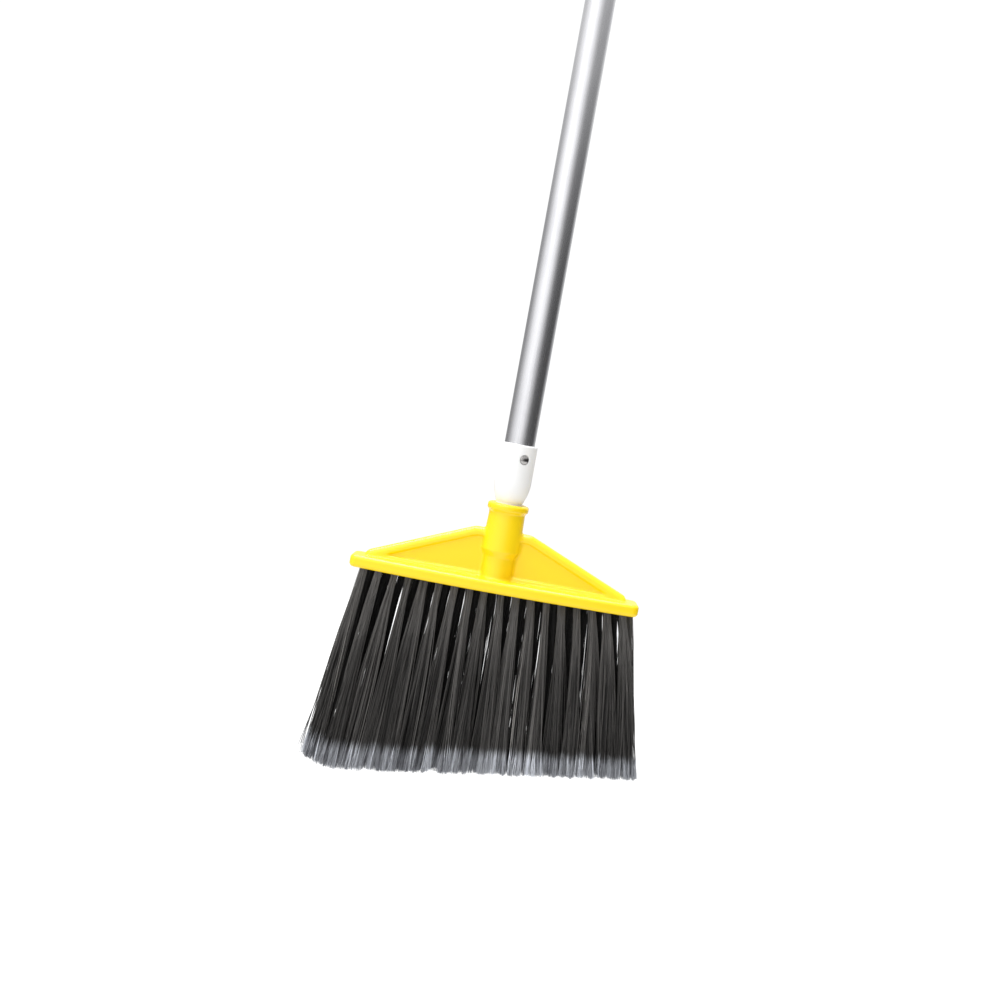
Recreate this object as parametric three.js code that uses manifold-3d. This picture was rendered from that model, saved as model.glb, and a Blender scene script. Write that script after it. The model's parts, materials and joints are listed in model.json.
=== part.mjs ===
// Angled push-and-pull broom that hangs by the eye at the top of its handle.
//
// Heights below are measured from the underside of the block, up along the handle.
// X runs along the block, the front of the broom faces -Y. At the end the whole group is
// lowered, so that the middle of the hanging eye is the origin.

import * as THREE from "three";
import { mergeVertices } from "three/addons/utils/BufferGeometryUtils.js";
import Module from "manifold-3d";

const wasm = await Module();
wasm.setup();

// ---------------------------------------------------------------- driving dimensions, mm

const FIT_GAP = 0.3; // between pieces that seat on each other
const RUNNING_GAP = 0.45; // between pieces that turn in each other

// Tufts and their holes
const ROW_TUFTS = 18;
const ROW_PITCH = 9.2;
const ROW_PITCH_AT_TIPS = 14;
const ROW_GAP_AT_TIPS = 1.6;
const HOLE_RADIUS = 4.3;
const HOLE_ROOF = 2.4; // what is left of the slab above a hole
const TUFT_MOUTH_GAP = 0.55; // between a tuft and its hole
const TUFT_FOLD_RADIUS = 1.1;
const TUFT_END_MARGIN = 13.6; // from the end of the slab to the last tuft's middle
const TIP_GAP = 0.8; // between neighbouring tufts at the tips
const LEFT_SPLAY = 11.5; // how far the tips reach past the end of the slab
const RIGHT_SPLAY = 22.5;
const LEFT_LENGTH = 185.5; // from the block's underside to the tips
const RIGHT_LENGTH = 142.5;
const WORN_CORNER = 13; // how far the long corner is worn up
const WORN_SPAN = 40;

// Block
const BLOCK_LENGTH = 267;
const SLAB_HEIGHT = 11.2;
const SLAB_END_WALL = 1.5; // between the outer holes and the slab's edge
const SLAB_BOW = 9; // how much further each long edge stands out in the middle
const SLAB_CORNER = 7;
const SLAB_EDGE = 2.2; // rounding of the slab's edges
const WEB_THICKNESS = 12;
const WEB_EDGE = 1.5; // rounding of the rim's edges
const WEB_END_INSET = 11.5; // from the end of the slab to the end of the web
const WEB_END_HEIGHT = 15;
const WEB_TOP_HEIGHT = 55.2;
const WEB_TOP_HALF = 26;
const WEB_END_ROUND = 8;
const RIM_WIDTH = 8;
const PANEL_RECESS = 2.6;
const PANEL_FLOOR_LIFT = 3.5; // from the slab's top to the panel's lower edge

// Thread of the ferrule in the socket
const THREAD_RADIUS = 9.5;
const THREAD_CORE_RADIUS = 7.3;
const THREAD_PITCH = 5.08;
const THREAD_ROOT_WIDTH = 3.1;
const THREAD_CREST_WIDTH = 1.0;
const THREAD_END_GAP = 0.77; // from either end of the nose to the ridge
const THREAD_STEPS = 18; // flats in one turn
const THREAD_SINK = 0.8; // how far a ridge's root reaches into the body that carries it
const NOSE_LENGTH = 27.5;
const NOSE_CHAMFER = 1;
const NOSE_END_SPACE = 3; // left below the nose in the socket

// Socket
const SOCKET_HEIGHT = 79.6;
const SOCKET_WALL = 4; // round the mouth
const SOCKET_LOWER_WALL = 4.8; // round the thread
const SLEEVE_SWELL = 1.05; // how much wider than its neck the sleeve is
const SHOULDER_HEIGHT = 31.5;
const SHOULDER_SAG = 1; // how hollow the shoulder is
const SLEEVE_HEIGHT = 37;
const LIP_OVERHANG = 2.2;
const LIP_HEIGHT = 5.3;
const LIP_ROUND = 1.3;
const MOUTH_DEPTH = 7;

// Ferrule, tube and rivet
const TUBE_RADIUS = 14;
const TUBE_WALL = 1.3;
const TUBE_LENGTH = 1130;
const FERRULE_WALL = 2.8;
const FERRULE_NECK_RADIUS = 12.2;
const FERRULE_STANDOFF = 2.2; // straight neck above the socket
const FERRULE_TAPER = 19;
const FERRULE_TAPER_BEND = 11; // height in the taper of the curve's pull point
const FERRULE_SLEEVE = 35.2; // from the taper to the top
const FERRULE_TOP_ROUND = 1.6;
const FERRULE_CORE_RADIUS = 4.4; // hollow down the middle of the nose
const TUBE_SEAT_LIFT = 1; // from the top of the taper to the tube's seat
const NOSE_TIP_WALL = 6;
const RIVET_DROP = 13.1; // below the ferrule's top
const RIVET_TURN = THREE.MathUtils.degToRad(25); // round from the front towards +X
const RIVET_SHANK_RADIUS = 2.4;
const RIVET_WALL = 0.9; // round the hollow of the clinched end
const RIVET_HOLLOW = 4; // depth of that hollow
const RIVET_HEAD_RADIUS = 4.3;
const RIVET_HEAD_HEIGHT = 1.6;
const RIVET_SEAT_DEPTH = 1.2; // below the ferrule's surface

// End plug and hanger
const PLUG_INSERT = 28;
const PLUG_LEAD = 3; // length of the taper that leads the plug in
const PLUG_LEAD_DEPTH = 1.5;
const COLLAR_HEIGHT = 6;
const COLLAR_CHAMFER = 1;
const STEM_RADIUS = 4;
const STEM_HEIGHT = 7.5;
const BARB_RADIUS = 6;
const BARB_HEIGHT = 6.5;
const BARB_STRAIGHT = 0.3; // share of the barb's height that isn't tapered
const BARB_TIP = 0.45; // share of the barb's radius at its tip
const CAP_ROOF = 4; // above the barb
const CAP_SKIRT = 7;
const CAP_CHAMFER = 0.8;
const EYE_RADIUS = 8;
const EYE_RIM = 6; // round the hole
const EYE_LIFT = 2; // from the cap's top to the hole
const EYE_THICKNESS = 10;
const EYE_EDGE = 1;

// ---------------------------------------------------------------- derived dimensions

const HOLE_DEPTH = SLAB_HEIGHT - HOLE_ROOF;
const TUFT_MOUTH_RADIUS = HOLE_RADIUS - TUFT_MOUTH_GAP;
const TUFT_PITCH = (BLOCK_LENGTH - 2 * TUFT_END_MARGIN) / (ROW_TUFTS - 1);
const MIDDLE_ROW_SHIFT = TUFT_PITCH / 2; // towards +X, so that its tufts fill the gaps
const FAN_LEFT = -BLOCK_LENGTH / 2 - LEFT_SPLAY;
const FAN_RIGHT = BLOCK_LENGTH / 2 + RIGHT_SPLAY;
const SLAB_END_DEPTH = 2 * (ROW_PITCH + HOLE_RADIUS + SLAB_END_WALL);
const SLAB_MIDDLE_DEPTH = SLAB_END_DEPTH + 2 * SLAB_BOW;
const WEB_END_X = BLOCK_LENGTH / 2 - WEB_END_INSET;
const WEB_SLOPE = (WEB_TOP_HEIGHT - WEB_END_HEIGHT) / (WEB_END_X - WEB_TOP_HALF);
const BORE_RADIUS = THREAD_CORE_RADIUS + RUNNING_GAP;
const MOUTH_RADIUS = FERRULE_NECK_RADIUS + RUNNING_GAP;
const MOUTH_FLOOR = SOCKET_HEIGHT - MOUTH_DEPTH;
const NOSE_TOP = MOUTH_FLOOR + FIT_GAP;
const NOSE_END = NOSE_TOP - NOSE_LENGTH;
const BORE_END = NOSE_END - NOSE_END_SPACE;
const THREAD_MIDDLE = (NOSE_TOP + NOSE_END) / 2;
const THREAD_TURNS = (NOSE_LENGTH - THREAD_ROOT_WIDTH - 2 * THREAD_END_GAP) / THREAD_PITCH;
const SOCKET_LOWER_RADIUS = THREAD_RADIUS + RUNNING_GAP + SOCKET_LOWER_WALL;
const SOCKET_NECK_RADIUS = MOUTH_RADIUS + SOCKET_WALL;
const SOCKET_SLEEVE_RADIUS = SOCKET_NECK_RADIUS + SLEEVE_SWELL;
const SOCKET_LIP_RADIUS = SOCKET_NECK_RADIUS + LIP_OVERHANG;
const FERRULE_RADIUS = TUBE_RADIUS + FIT_GAP + FERRULE_WALL;
const TAPER_BOTTOM = SOCKET_HEIGHT + FERRULE_STANDOFF;
const TAPER_TOP = TAPER_BOTTOM + FERRULE_TAPER;
const FERRULE_TOP = TAPER_TOP + FERRULE_SLEEVE;
const RIVET_HEIGHT = FERRULE_TOP - RIVET_DROP;
const RIVET_SEAT = FERRULE_RADIUS - RIVET_SEAT_DEPTH;
const TUBE_INNER_RADIUS = TUBE_RADIUS - TUBE_WALL;
const TUBE_SEAT = TAPER_TOP + TUBE_SEAT_LIFT;
const TUBE_BOTTOM = TUBE_SEAT + FIT_GAP;
const TUBE_TOP = TUBE_BOTTOM + TUBE_LENGTH;
const COLLAR_TOP = TUBE_TOP + FIT_GAP + COLLAR_HEIGHT;
const BARB_BOTTOM = COLLAR_TOP + STEM_HEIGHT;
const BARB_TOP = BARB_BOTTOM + BARB_HEIGHT;
const CAP_TOP = BARB_TOP + CAP_ROOF;
const EYE_CENTRE = CAP_TOP + EYE_LIFT + EYE_RADIUS;
const EYE_OUTER_RADIUS = EYE_RADIUS + EYE_RIM;

// ---------------------------------------------------------------- finishes

function finish(colour, roughness, metalness) {
  return new THREE.MeshStandardMaterial({ color: colour, roughness, metalness });
}

const YELLOW_PLASTIC = finish(0xffe628, 0.3, 0);
const WHITE_PLASTIC = finish(0xf4f4f2, 0.35, 0);
const GREY_PLASTIC = finish(0x3c3d40, 0.5, 0);
const ALUMINIUM = finish(0xb9bbc0, 0.32, 1);
const STEEL = finish(0xa8a9ab, 0.25, 1);
const BRISTLE = finish(0x3f3e3d, 0.6, 0);

// ---------------------------------------------------------------- solids

function positionsOnly(geometry) {
  const bare = geometry.clone();
  bare.deleteAttribute("normal");
  bare.deleteAttribute("uv");
  return mergeVertices(bare, 1e-3);
}

function toSolid(geometry) {
  const merged = positionsOnly(geometry);
  return new wasm.Manifold(
    new wasm.Mesh({
      numProp: 3,
      vertProperties: new Float32Array(merged.attributes.position.array),
      triVerts: new Uint32Array(merged.index.array),
    }),
  );
}

function toGeometry(solid) {
  const mesh = solid.getMesh();
  const geometry = new THREE.BufferGeometry();
  geometry.setAttribute("position", new THREE.BufferAttribute(mesh.vertProperties, 3));
  geometry.setIndex(new THREE.BufferAttribute(mesh.triVerts, 1));
  return geometry;
}

/** Joins the first geometry with those in `added`, then takes those in `cut` away. */
function carve(first, added, cut) {
  let solid = toSolid(first);
  for (const geometry of added) {
    solid = solid.add(toSolid(geometry));
  }
  for (const geometry of cut) {
    solid = solid.subtract(toSolid(geometry));
  }
  return toGeometry(solid);
}

/** A body turned about Z from a closed outline of [radius, height] pairs that starts and ends on the axis. */
function turned(outline, segments = 40) {
  const points = outline.map(([radius, height]) => new THREE.Vector2(radius, height));
  const geometry = new THREE.LatheGeometry(points, segments);
  geometry.rotateX(Math.PI / 2);
  return geometry;
}

/** A closed body through rings that all have the same number of points and are convex at both ends. */
function loft(rings) {
  const count = rings[0].length;
  const positions = rings.flat().flatMap((point) => [point.x, point.y, point.z]);
  const triangles = [];
  for (let ring = 0; ring + 1 < rings.length; ring += 1) {
    for (let side = 0; side < count; side += 1) {
      const a = ring * count + side;
      const b = ring * count + ((side + 1) % count);
      triangles.push(a, b, b + count, a, b + count, a + count);
    }
  }
  const last = (rings.length - 1) * count;
  for (let side = 1; side + 1 < count; side += 1) {
    triangles.push(0, side + 1, side);
    triangles.push(last, last + side, last + side + 1);
  }
  const geometry = new THREE.BufferGeometry();
  geometry.setAttribute("position", new THREE.Float32BufferAttribute(positions, 3));
  geometry.setIndex(triangles);
  return geometry;
}

function cylinder(radius, bottom, top, segments = 40) {
  const geometry = new THREE.CylinderGeometry(radius, radius, top - bottom, segments);
  geometry.rotateX(Math.PI / 2);
  geometry.translate(0, 0, (top + bottom) / 2);
  return geometry;
}

/** A plate cut to `shape`, drawn in X and Z, of the given thickness about the plane Y = 0. */
function uprightPlate(shape, thickness, edge) {
  const geometry = new THREE.ExtrudeGeometry(shape, {
    depth: thickness - 2 * edge,
    bevelEnabled: edge > 0,
    bevelThickness: edge,
    bevelSize: edge,
    bevelOffset: -edge,
    bevelSegments: 2,
    curveSegments: 8,
  });
  geometry.rotateX(Math.PI / 2);
  geometry.translate(0, thickness / 2 - edge, 0);
  return geometry;
}

// ---------------------------------------------------------------- thread

/** A ridge that climbs round the Z axis; its section is a trapezium in radius and height. */
function threadRidge({ innerRadius, outerRadius, rootWidth, crestWidth, middle, turns }) {
  const steps = Math.round(turns * THREAD_STEPS);
  const rings = [];
  for (let step = 0; step <= steps; step += 1) {
    const turn = step / THREAD_STEPS - turns / 2;
    const angle = turn * 2 * Math.PI;
    const height = middle + turn * THREAD_PITCH;
    const corner = (radius, offset) =>
      new THREE.Vector3(radius * Math.cos(angle), radius * Math.sin(angle), height + offset);
    rings.push([
      corner(innerRadius, -rootWidth / 2),
      corner(innerRadius, rootWidth / 2),
      corner(outerRadius, crestWidth / 2),
      corner(outerRadius, -crestWidth / 2),
    ]);
  }
  return loft(rings);
}

function ferruleThread() {
  return threadRidge({
    innerRadius: THREAD_CORE_RADIUS - THREAD_SINK,
    outerRadius: THREAD_RADIUS,
    rootWidth: THREAD_ROOT_WIDTH,
    crestWidth: THREAD_CREST_WIDTH,
    middle: THREAD_MIDDLE,
    turns: THREAD_TURNS,
  });
}

/** The groove is open at both ends of the bore, so that the ridge can wind in from the mouth. */
function socketGroove() {
  const reach = MOUTH_FLOOR - BORE_END;
  return threadRidge({
    innerRadius: BORE_RADIUS - THREAD_SINK,
    outerRadius: THREAD_RADIUS + RUNNING_GAP,
    rootWidth: THREAD_ROOT_WIDTH + 2 * RUNNING_GAP,
    crestWidth: THREAD_CREST_WIDTH + 2 * RUNNING_GAP,
    middle: THREAD_MIDDLE,
    turns: 2 * Math.ceil(reach / THREAD_PITCH / 2) + 1,
  });
}

// ---------------------------------------------------------------- broom block

function slab() {
  const end = BLOCK_LENGTH / 2;
  const half = SLAB_END_DEPTH / 2;
  const bow = SLAB_MIDDLE_DEPTH - half; // the pull point of a curve that passes the middle
  const shape = new THREE.Shape();
  shape.moveTo(-end + SLAB_CORNER, -half);
  shape.quadraticCurveTo(0, -bow, end - SLAB_CORNER, -half);
  shape.quadraticCurveTo(end, -half, end, -half + SLAB_CORNER);
  shape.lineTo(end, half - SLAB_CORNER);
  shape.quadraticCurveTo(end, half, end - SLAB_CORNER, half);
  shape.quadraticCurveTo(0, bow, -end + SLAB_CORNER, half);
  shape.quadraticCurveTo(-end, half, -end, half - SLAB_CORNER);
  shape.lineTo(-end, -half + SLAB_CORNER);
  shape.quadraticCurveTo(-end, -half, -end + SLAB_CORNER, -half);
  const geometry = new THREE.ExtrudeGeometry(shape, {
    depth: SLAB_HEIGHT - 2 * SLAB_EDGE,
    bevelThickness: SLAB_EDGE,
    bevelSize: SLAB_EDGE,
    bevelOffset: -SLAB_EDGE,
    bevelSegments: 2,
    curveSegments: 10,
  });
  geometry.translate(0, 0, SLAB_EDGE);
  return geometry;
}

/** Height of the web's sloping edge at a distance from the middle. */
function slopeHeight(x) {
  return WEB_TOP_HEIGHT - (x - WEB_TOP_HALF) * WEB_SLOPE;
}

function webOutline() {
  const end = WEB_END_X;
  const round = WEB_END_ROUND;
  const shape = new THREE.Shape();
  shape.moveTo(-end, SLAB_HEIGHT / 2);
  shape.quadraticCurveTo(-end, slopeHeight(end), -end + round, slopeHeight(end - round));
  shape.lineTo(-WEB_TOP_HALF - round, slopeHeight(WEB_TOP_HALF + round));
  shape.quadraticCurveTo(-WEB_TOP_HALF, WEB_TOP_HEIGHT, -WEB_TOP_HALF + round, WEB_TOP_HEIGHT);
  shape.lineTo(WEB_TOP_HALF - round, WEB_TOP_HEIGHT);
  shape.quadraticCurveTo(WEB_TOP_HALF, WEB_TOP_HEIGHT, WEB_TOP_HALF + round, slopeHeight(WEB_TOP_HALF + round));
  shape.lineTo(end - round, slopeHeight(end - round));
  shape.quadraticCurveTo(end, slopeHeight(end), end, SLAB_HEIGHT / 2);
  shape.closePath();
  return shape;
}

/** The recess inside the rim: its sloping edges run a rim's width inside the web's own. */
function panelOutline() {
  const drop = RIM_WIDTH * Math.hypot(1, WEB_SLOPE);
  const reachAt = (height) => WEB_TOP_HALF + (WEB_TOP_HEIGHT - drop - height) / WEB_SLOPE;
  const floor = SLAB_HEIGHT + PANEL_FLOOR_LIFT;
  const top = WEB_TOP_HEIGHT - RIM_WIDTH;
  const shape = new THREE.Shape();
  shape.moveTo(-reachAt(floor), floor);
  shape.lineTo(-reachAt(top), top);
  shape.lineTo(reachAt(top), top);
  shape.lineTo(reachAt(floor), floor);
  shape.closePath();
  return shape;
}

function socketBody() {
  const lipBottom = SOCKET_HEIGHT - LIP_HEIGHT;
  const shoulderMiddle = (SHOULDER_HEIGHT + SLEEVE_HEIGHT) / 2;
  return turned([
    [0, SLAB_HEIGHT / 2],
    [SOCKET_LOWER_RADIUS, SLAB_HEIGHT / 2],
    [SOCKET_LOWER_RADIUS, SHOULDER_HEIGHT],
    [(SOCKET_LOWER_RADIUS + SOCKET_SLEEVE_RADIUS) / 2, shoulderMiddle - SHOULDER_SAG],
    [SOCKET_SLEEVE_RADIUS, SLEEVE_HEIGHT],
    [SOCKET_NECK_RADIUS, lipBottom - LIP_ROUND],
    [SOCKET_LIP_RADIUS, lipBottom],
    [SOCKET_LIP_RADIUS, SOCKET_HEIGHT - LIP_ROUND],
    [SOCKET_LIP_RADIUS - LIP_ROUND, SOCKET_HEIGHT],
    [0, SOCKET_HEIGHT],
  ]);
}

function socketBore() {
  const beyond = SOCKET_HEIGHT + 1;
  return turned([
    [0, BORE_END],
    [BORE_RADIUS, BORE_END],
    [BORE_RADIUS, MOUTH_FLOOR],
    [MOUTH_RADIUS, MOUTH_FLOOR],
    [MOUTH_RADIUS, beyond],
    [0, beyond],
  ], 36);
}

/** The part of the groove below the mouth's floor; above it, it would break into the lip. */
function trimmedGroove() {
  const keep = toSolid(cylinder(MOUTH_RADIUS, BORE_END, MOUTH_FLOOR + FIT_GAP));
  return toGeometry(toSolid(socketGroove()).intersect(keep));
}

function panelRecess(side) {
  const recess = uprightPlate(panelOutline(), 2 * PANEL_RECESS, 0);
  recess.translate(0, (side * WEB_THICKNESS) / 2, 0);
  return recess;
}

function tuftHole(x, y) {
  const geometry = cylinder(HOLE_RADIUS, -1, HOLE_DEPTH, 12);
  geometry.translate(x, y, 0);
  return geometry;
}

function broomBlock(rows) {
  const plate = uprightPlate(webOutline(), WEB_THICKNESS, WEB_EDGE);
  const web = carve(plate, [], [panelRecess(-1), panelRecess(1)]);
  const holes = rows.flatMap((row) => row.roots.map((x) => tuftHole(x, row.y)));
  return carve(slab(), [web, socketBody()], [socketBore(), trimmedGroove(), ...holes]);
}

// ---------------------------------------------------------------- ferrule, rivet and tube

/** A round bar along the rivet's direction, from one distance on the handle's axis to another. */
function acrossHandle(radius, from, to, segments = 20) {
  const bar = cylinder(radius, from, to, segments);
  layAcrossHandle(bar);
  return bar;
}

function layAcrossHandle(geometry) {
  geometry.rotateX(Math.PI / 2);
  geometry.rotateZ(RIVET_TURN);
  geometry.translate(0, 0, RIVET_HEIGHT);
}

function ferruleTaper() {
  const curve = new THREE.QuadraticBezierCurve(
    new THREE.Vector2(FERRULE_NECK_RADIUS, TAPER_BOTTOM),
    new THREE.Vector2(FERRULE_RADIUS, TAPER_BOTTOM + FERRULE_TAPER_BEND),
    new THREE.Vector2(FERRULE_RADIUS, TAPER_TOP),
  );
  return curve.getPoints(8).map((point) => [point.x, point.y]);
}

function threadedTip() {
  const boreRadius = TUBE_RADIUS + FIT_GAP;
  const body = turned([
    [0, NOSE_END],
    [THREAD_CORE_RADIUS - NOSE_CHAMFER, NOSE_END],
    [THREAD_CORE_RADIUS, NOSE_END + NOSE_CHAMFER],
    [THREAD_CORE_RADIUS, NOSE_TOP],
    [FERRULE_NECK_RADIUS, NOSE_TOP],
    ...ferruleTaper(),
    [FERRULE_RADIUS, FERRULE_TOP - FERRULE_TOP_ROUND],
    [FERRULE_RADIUS - FERRULE_TOP_ROUND / 2, FERRULE_TOP],
    [boreRadius, FERRULE_TOP],
    [boreRadius, TUBE_SEAT],
    [FERRULE_CORE_RADIUS, TUBE_SEAT],
    [FERRULE_CORE_RADIUS, NOSE_END + NOSE_TIP_WALL],
    [0, NOSE_END + NOSE_TIP_WALL],
  ], 36);
  const reach = FERRULE_RADIUS + 2;
  const shankHole = acrossHandle(RIVET_SHANK_RADIUS + FIT_GAP, -reach, reach);
  const seatRadius = RIVET_HEAD_RADIUS + FIT_GAP;
  const frontSeat = acrossHandle(seatRadius, RIVET_SEAT - FIT_GAP, reach);
  const backSeat = acrossHandle(seatRadius, -reach, -RIVET_SEAT + FIT_GAP);
  return carve(body, [ferruleThread()], [shankHole, frontSeat, backSeat]);
}

/** A rivet with a domed head in front and a clinched, hollow head behind. */
function ferruleRivet() {
  const headTop = RIVET_SEAT + RIVET_HEAD_HEIGHT;
  const hollow = RIVET_SHANK_RADIUS - RIVET_WALL;
  const hollowEnd = RIVET_HOLLOW - RIVET_SEAT;
  const brim = RIVET_HEAD_HEIGHT / 3;
  const rivet = turned([
    [0, hollowEnd],
    [hollow, hollowEnd - 1],
    [hollow, brim - headTop],
    [hollow + RIVET_WALL, -headTop],
    [RIVET_HEAD_RADIUS - RIVET_WALL, -headTop],
    [RIVET_HEAD_RADIUS, -RIVET_SEAT],
    [RIVET_SHANK_RADIUS, -RIVET_SEAT],
    [RIVET_SHANK_RADIUS, RIVET_SEAT],
    [RIVET_HEAD_RADIUS, RIVET_SEAT],
    [RIVET_HEAD_RADIUS, RIVET_SEAT + brim],
    [RIVET_HEAD_RADIUS * 0.75, headTop - brim / 2],
    [RIVET_HEAD_RADIUS * 0.4, headTop],
    [0, headTop],
  ], 20);
  layAcrossHandle(rivet);
  return rivet;
}

function handleTube() {
  const outline = [
    [TUBE_INNER_RADIUS, TUBE_BOTTOM],
    [TUBE_RADIUS, TUBE_BOTTOM],
    [TUBE_RADIUS, TUBE_TOP],
    [TUBE_INNER_RADIUS, TUBE_TOP],
    [TUBE_INNER_RADIUS, TUBE_BOTTOM],
  ];
  const reach = TUBE_RADIUS + 2;
  return carve(turned(outline), [], [acrossHandle(RIVET_SHANK_RADIUS + FIT_GAP, -reach, reach)]);
}

// ---------------------------------------------------------------- end plug and hanger

function tubeEndPlug() {
  const insertRadius = TUBE_INNER_RADIUS - FIT_GAP;
  const insertEnd = TUBE_TOP - PLUG_INSERT;
  return turned([
    [0, insertEnd],
    [insertRadius - PLUG_LEAD_DEPTH, insertEnd],
    [insertRadius, insertEnd + PLUG_LEAD],
    [insertRadius, TUBE_TOP + FIT_GAP],
    [TUBE_RADIUS, TUBE_TOP + FIT_GAP],
    [TUBE_RADIUS, COLLAR_TOP - COLLAR_CHAMFER],
    [TUBE_RADIUS - COLLAR_CHAMFER, COLLAR_TOP],
    [STEM_RADIUS, COLLAR_TOP],
    [STEM_RADIUS, BARB_BOTTOM],
    [BARB_RADIUS, BARB_BOTTOM],
    [BARB_RADIUS, BARB_BOTTOM + BARB_HEIGHT * BARB_STRAIGHT],
    [BARB_RADIUS * BARB_TIP, BARB_TOP],
    [0, BARB_TOP],
  ], 28);
}

/** The cap that the plug's barb snaps into. */
function hangerCap() {
  const bottom = COLLAR_TOP + RUNNING_GAP;
  return turned([
    [0, bottom],
    [TUBE_RADIUS - CAP_CHAMFER, bottom],
    [TUBE_RADIUS, bottom + CAP_CHAMFER],
    [TUBE_RADIUS, bottom + CAP_SKIRT],
    [TUBE_RADIUS * 0.72, CAP_TOP - 1],
    [TUBE_RADIUS * 0.6, CAP_TOP],
    [0, CAP_TOP],
  ], 32);
}

/** Room for the stem and the barb, open at the cap's foot. */
function barbCavity() {
  const stemRadius = STEM_RADIUS + RUNNING_GAP;
  const barbRadius = BARB_RADIUS + RUNNING_GAP;
  const ledge = BARB_BOTTOM - RUNNING_GAP;
  const roof = BARB_TOP + RUNNING_GAP;
  return turned([
    [0, COLLAR_TOP - 1],
    [stemRadius, COLLAR_TOP - 1],
    [stemRadius, ledge],
    [barbRadius, ledge],
    [barbRadius, BARB_BOTTOM + BARB_HEIGHT * BARB_STRAIGHT + RUNNING_GAP],
    [BARB_RADIUS * BARB_TIP + 2 * RUNNING_GAP, roof],
    [0, roof],
  ], 24);
}

/** The plate round the hanging hole, which grows out of the cap. */
function hangerEye() {
  const foot = BARB_TOP + FIT_GAP + RUNNING_GAP;
  const shape = new THREE.Shape();
  shape.moveTo(-EYE_OUTER_RADIUS * 0.8, foot);
  shape.lineTo(EYE_OUTER_RADIUS * 0.8, foot);
  shape.lineTo(EYE_OUTER_RADIUS, EYE_CENTRE);
  shape.absarc(0, EYE_CENTRE, EYE_OUTER_RADIUS, 0, Math.PI, false);
  shape.closePath();
  return uprightPlate(shape, EYE_THICKNESS, EYE_EDGE);
}

function swivelHanger() {
  const eyeHole = cylinder(EYE_RADIUS, -EYE_THICKNESS, EYE_THICKNESS, 24);
  eyeHole.rotateX(Math.PI / 2);
  eyeHole.translate(0, 0, EYE_CENTRE);
  return carve(hangerCap(), [hangerEye()], [barbCavity(), eyeHole]);
}

// ---------------------------------------------------------------- bristles

/** One row of tufts: `place` is -1 for the front row, 0 for the middle one and 1 for the back one. */
function tuftRow(name, place) {
  const shift = place === 0 ? MIDDLE_ROW_SHIFT : 0;
  const roots = Array.from(
    { length: ROW_TUFTS },
    (_, index) => (index - (ROW_TUFTS - 1) / 2) * TUFT_PITCH + shift,
  );
  return { name, roots, y: place * ROW_PITCH, tipY: place * ROW_PITCH_AT_TIPS };
}

/** Height of the tips at a place along the floor, with the long corner worn up. */
function tipHeight(x) {
  const along = (x - FAN_LEFT) / (FAN_RIGHT - FAN_LEFT);
  const straight = THREE.MathUtils.lerp(-LEFT_LENGTH, -RIGHT_LENGTH, along);
  const fromCorner = Math.max(0, 1 - (x - FAN_LEFT) / WORN_SPAN);
  return straight + WORN_CORNER * fromCorner ** 2;
}

function tuftRing(centreX, centreY, halfWidth, halfThickness, heightAt) {
  const sides = 10;
  return Array.from({ length: sides }, (_, side) => {
    const angle = ((side + 0.5) / sides) * 2 * Math.PI;
    const x = centreX + halfWidth * Math.cos(angle);
    const y = centreY + halfThickness * Math.sin(angle);
    return new THREE.Vector3(x, y, heightAt(x));
  });
}

/** A bundle of filaments, folded at the top of its hole and fanned out towards the floor. */
function tuft(row, index) {
  const x = row.roots[index];
  const tipX = THREE.MathUtils.lerp(FAN_LEFT, FAN_RIGHT, (index + 0.5) / ROW_TUFTS);
  const halfWidth = ((FAN_RIGHT - FAN_LEFT) / ROW_TUFTS - TIP_GAP) / 2;
  const halfThickness = (ROW_PITCH_AT_TIPS - ROW_GAP_AT_TIPS) / 2;
  return loft([
    tuftRing(tipX, row.tipY, halfWidth, halfThickness, tipHeight),
    tuftRing(x, row.y, TUFT_MOUTH_RADIUS, TUFT_MOUTH_RADIUS, () => 0),
    tuftRing(x, row.y, TUFT_FOLD_RADIUS, TUFT_FOLD_RADIUS, () => HOLE_DEPTH - 2 * FIT_GAP),
  ]);
}

// ---------------------------------------------------------------- assembly

function named(name, geometry, material) {
  const mesh = new THREE.Mesh(geometry, material);
  mesh.name = name;
  return mesh;
}

const rows = [tuftRow("front", -1), tuftRow("middle", 0), tuftRow("back", 1)];

const head = new THREE.Group();
head.add(named("broom_block", broomBlock(rows), YELLOW_PLASTIC));
for (const row of rows) {
  row.roots.forEach((_, index) => {
    const number = String(index + 1).padStart(2, "0");
    head.add(named(`${row.name}_tuft_${number}`, tuft(row, index), BRISTLE));
  });
}

const handle = new THREE.Group();
handle.add(named("threaded_tip", threadedTip(), WHITE_PLASTIC));
handle.add(named("ferrule_rivet", ferruleRivet(), STEEL));
handle.add(named("handle_tube", handleTube(), ALUMINIUM));
handle.add(named("tube_end_plug", tubeEndPlug(), GREY_PLASTIC));

const broom = new THREE.Group();
broom.add(head, handle, named("swivel_hanger", swivelHanger(), GREY_PLASTIC));
broom.position.z = -EYE_CENTRE;

export default broom;
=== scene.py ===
"""Looks of an angled broom: moulded block, flagged bristles, screw-in aluminium handle and hanging eye."""

import json
import logging
import math
from dataclasses import dataclass
from enum import Enum, IntEnum
from typing import Any, Callable, Sequence, Union

import bpy
import numpy as np
from mathutils import Matrix, Vector


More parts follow.
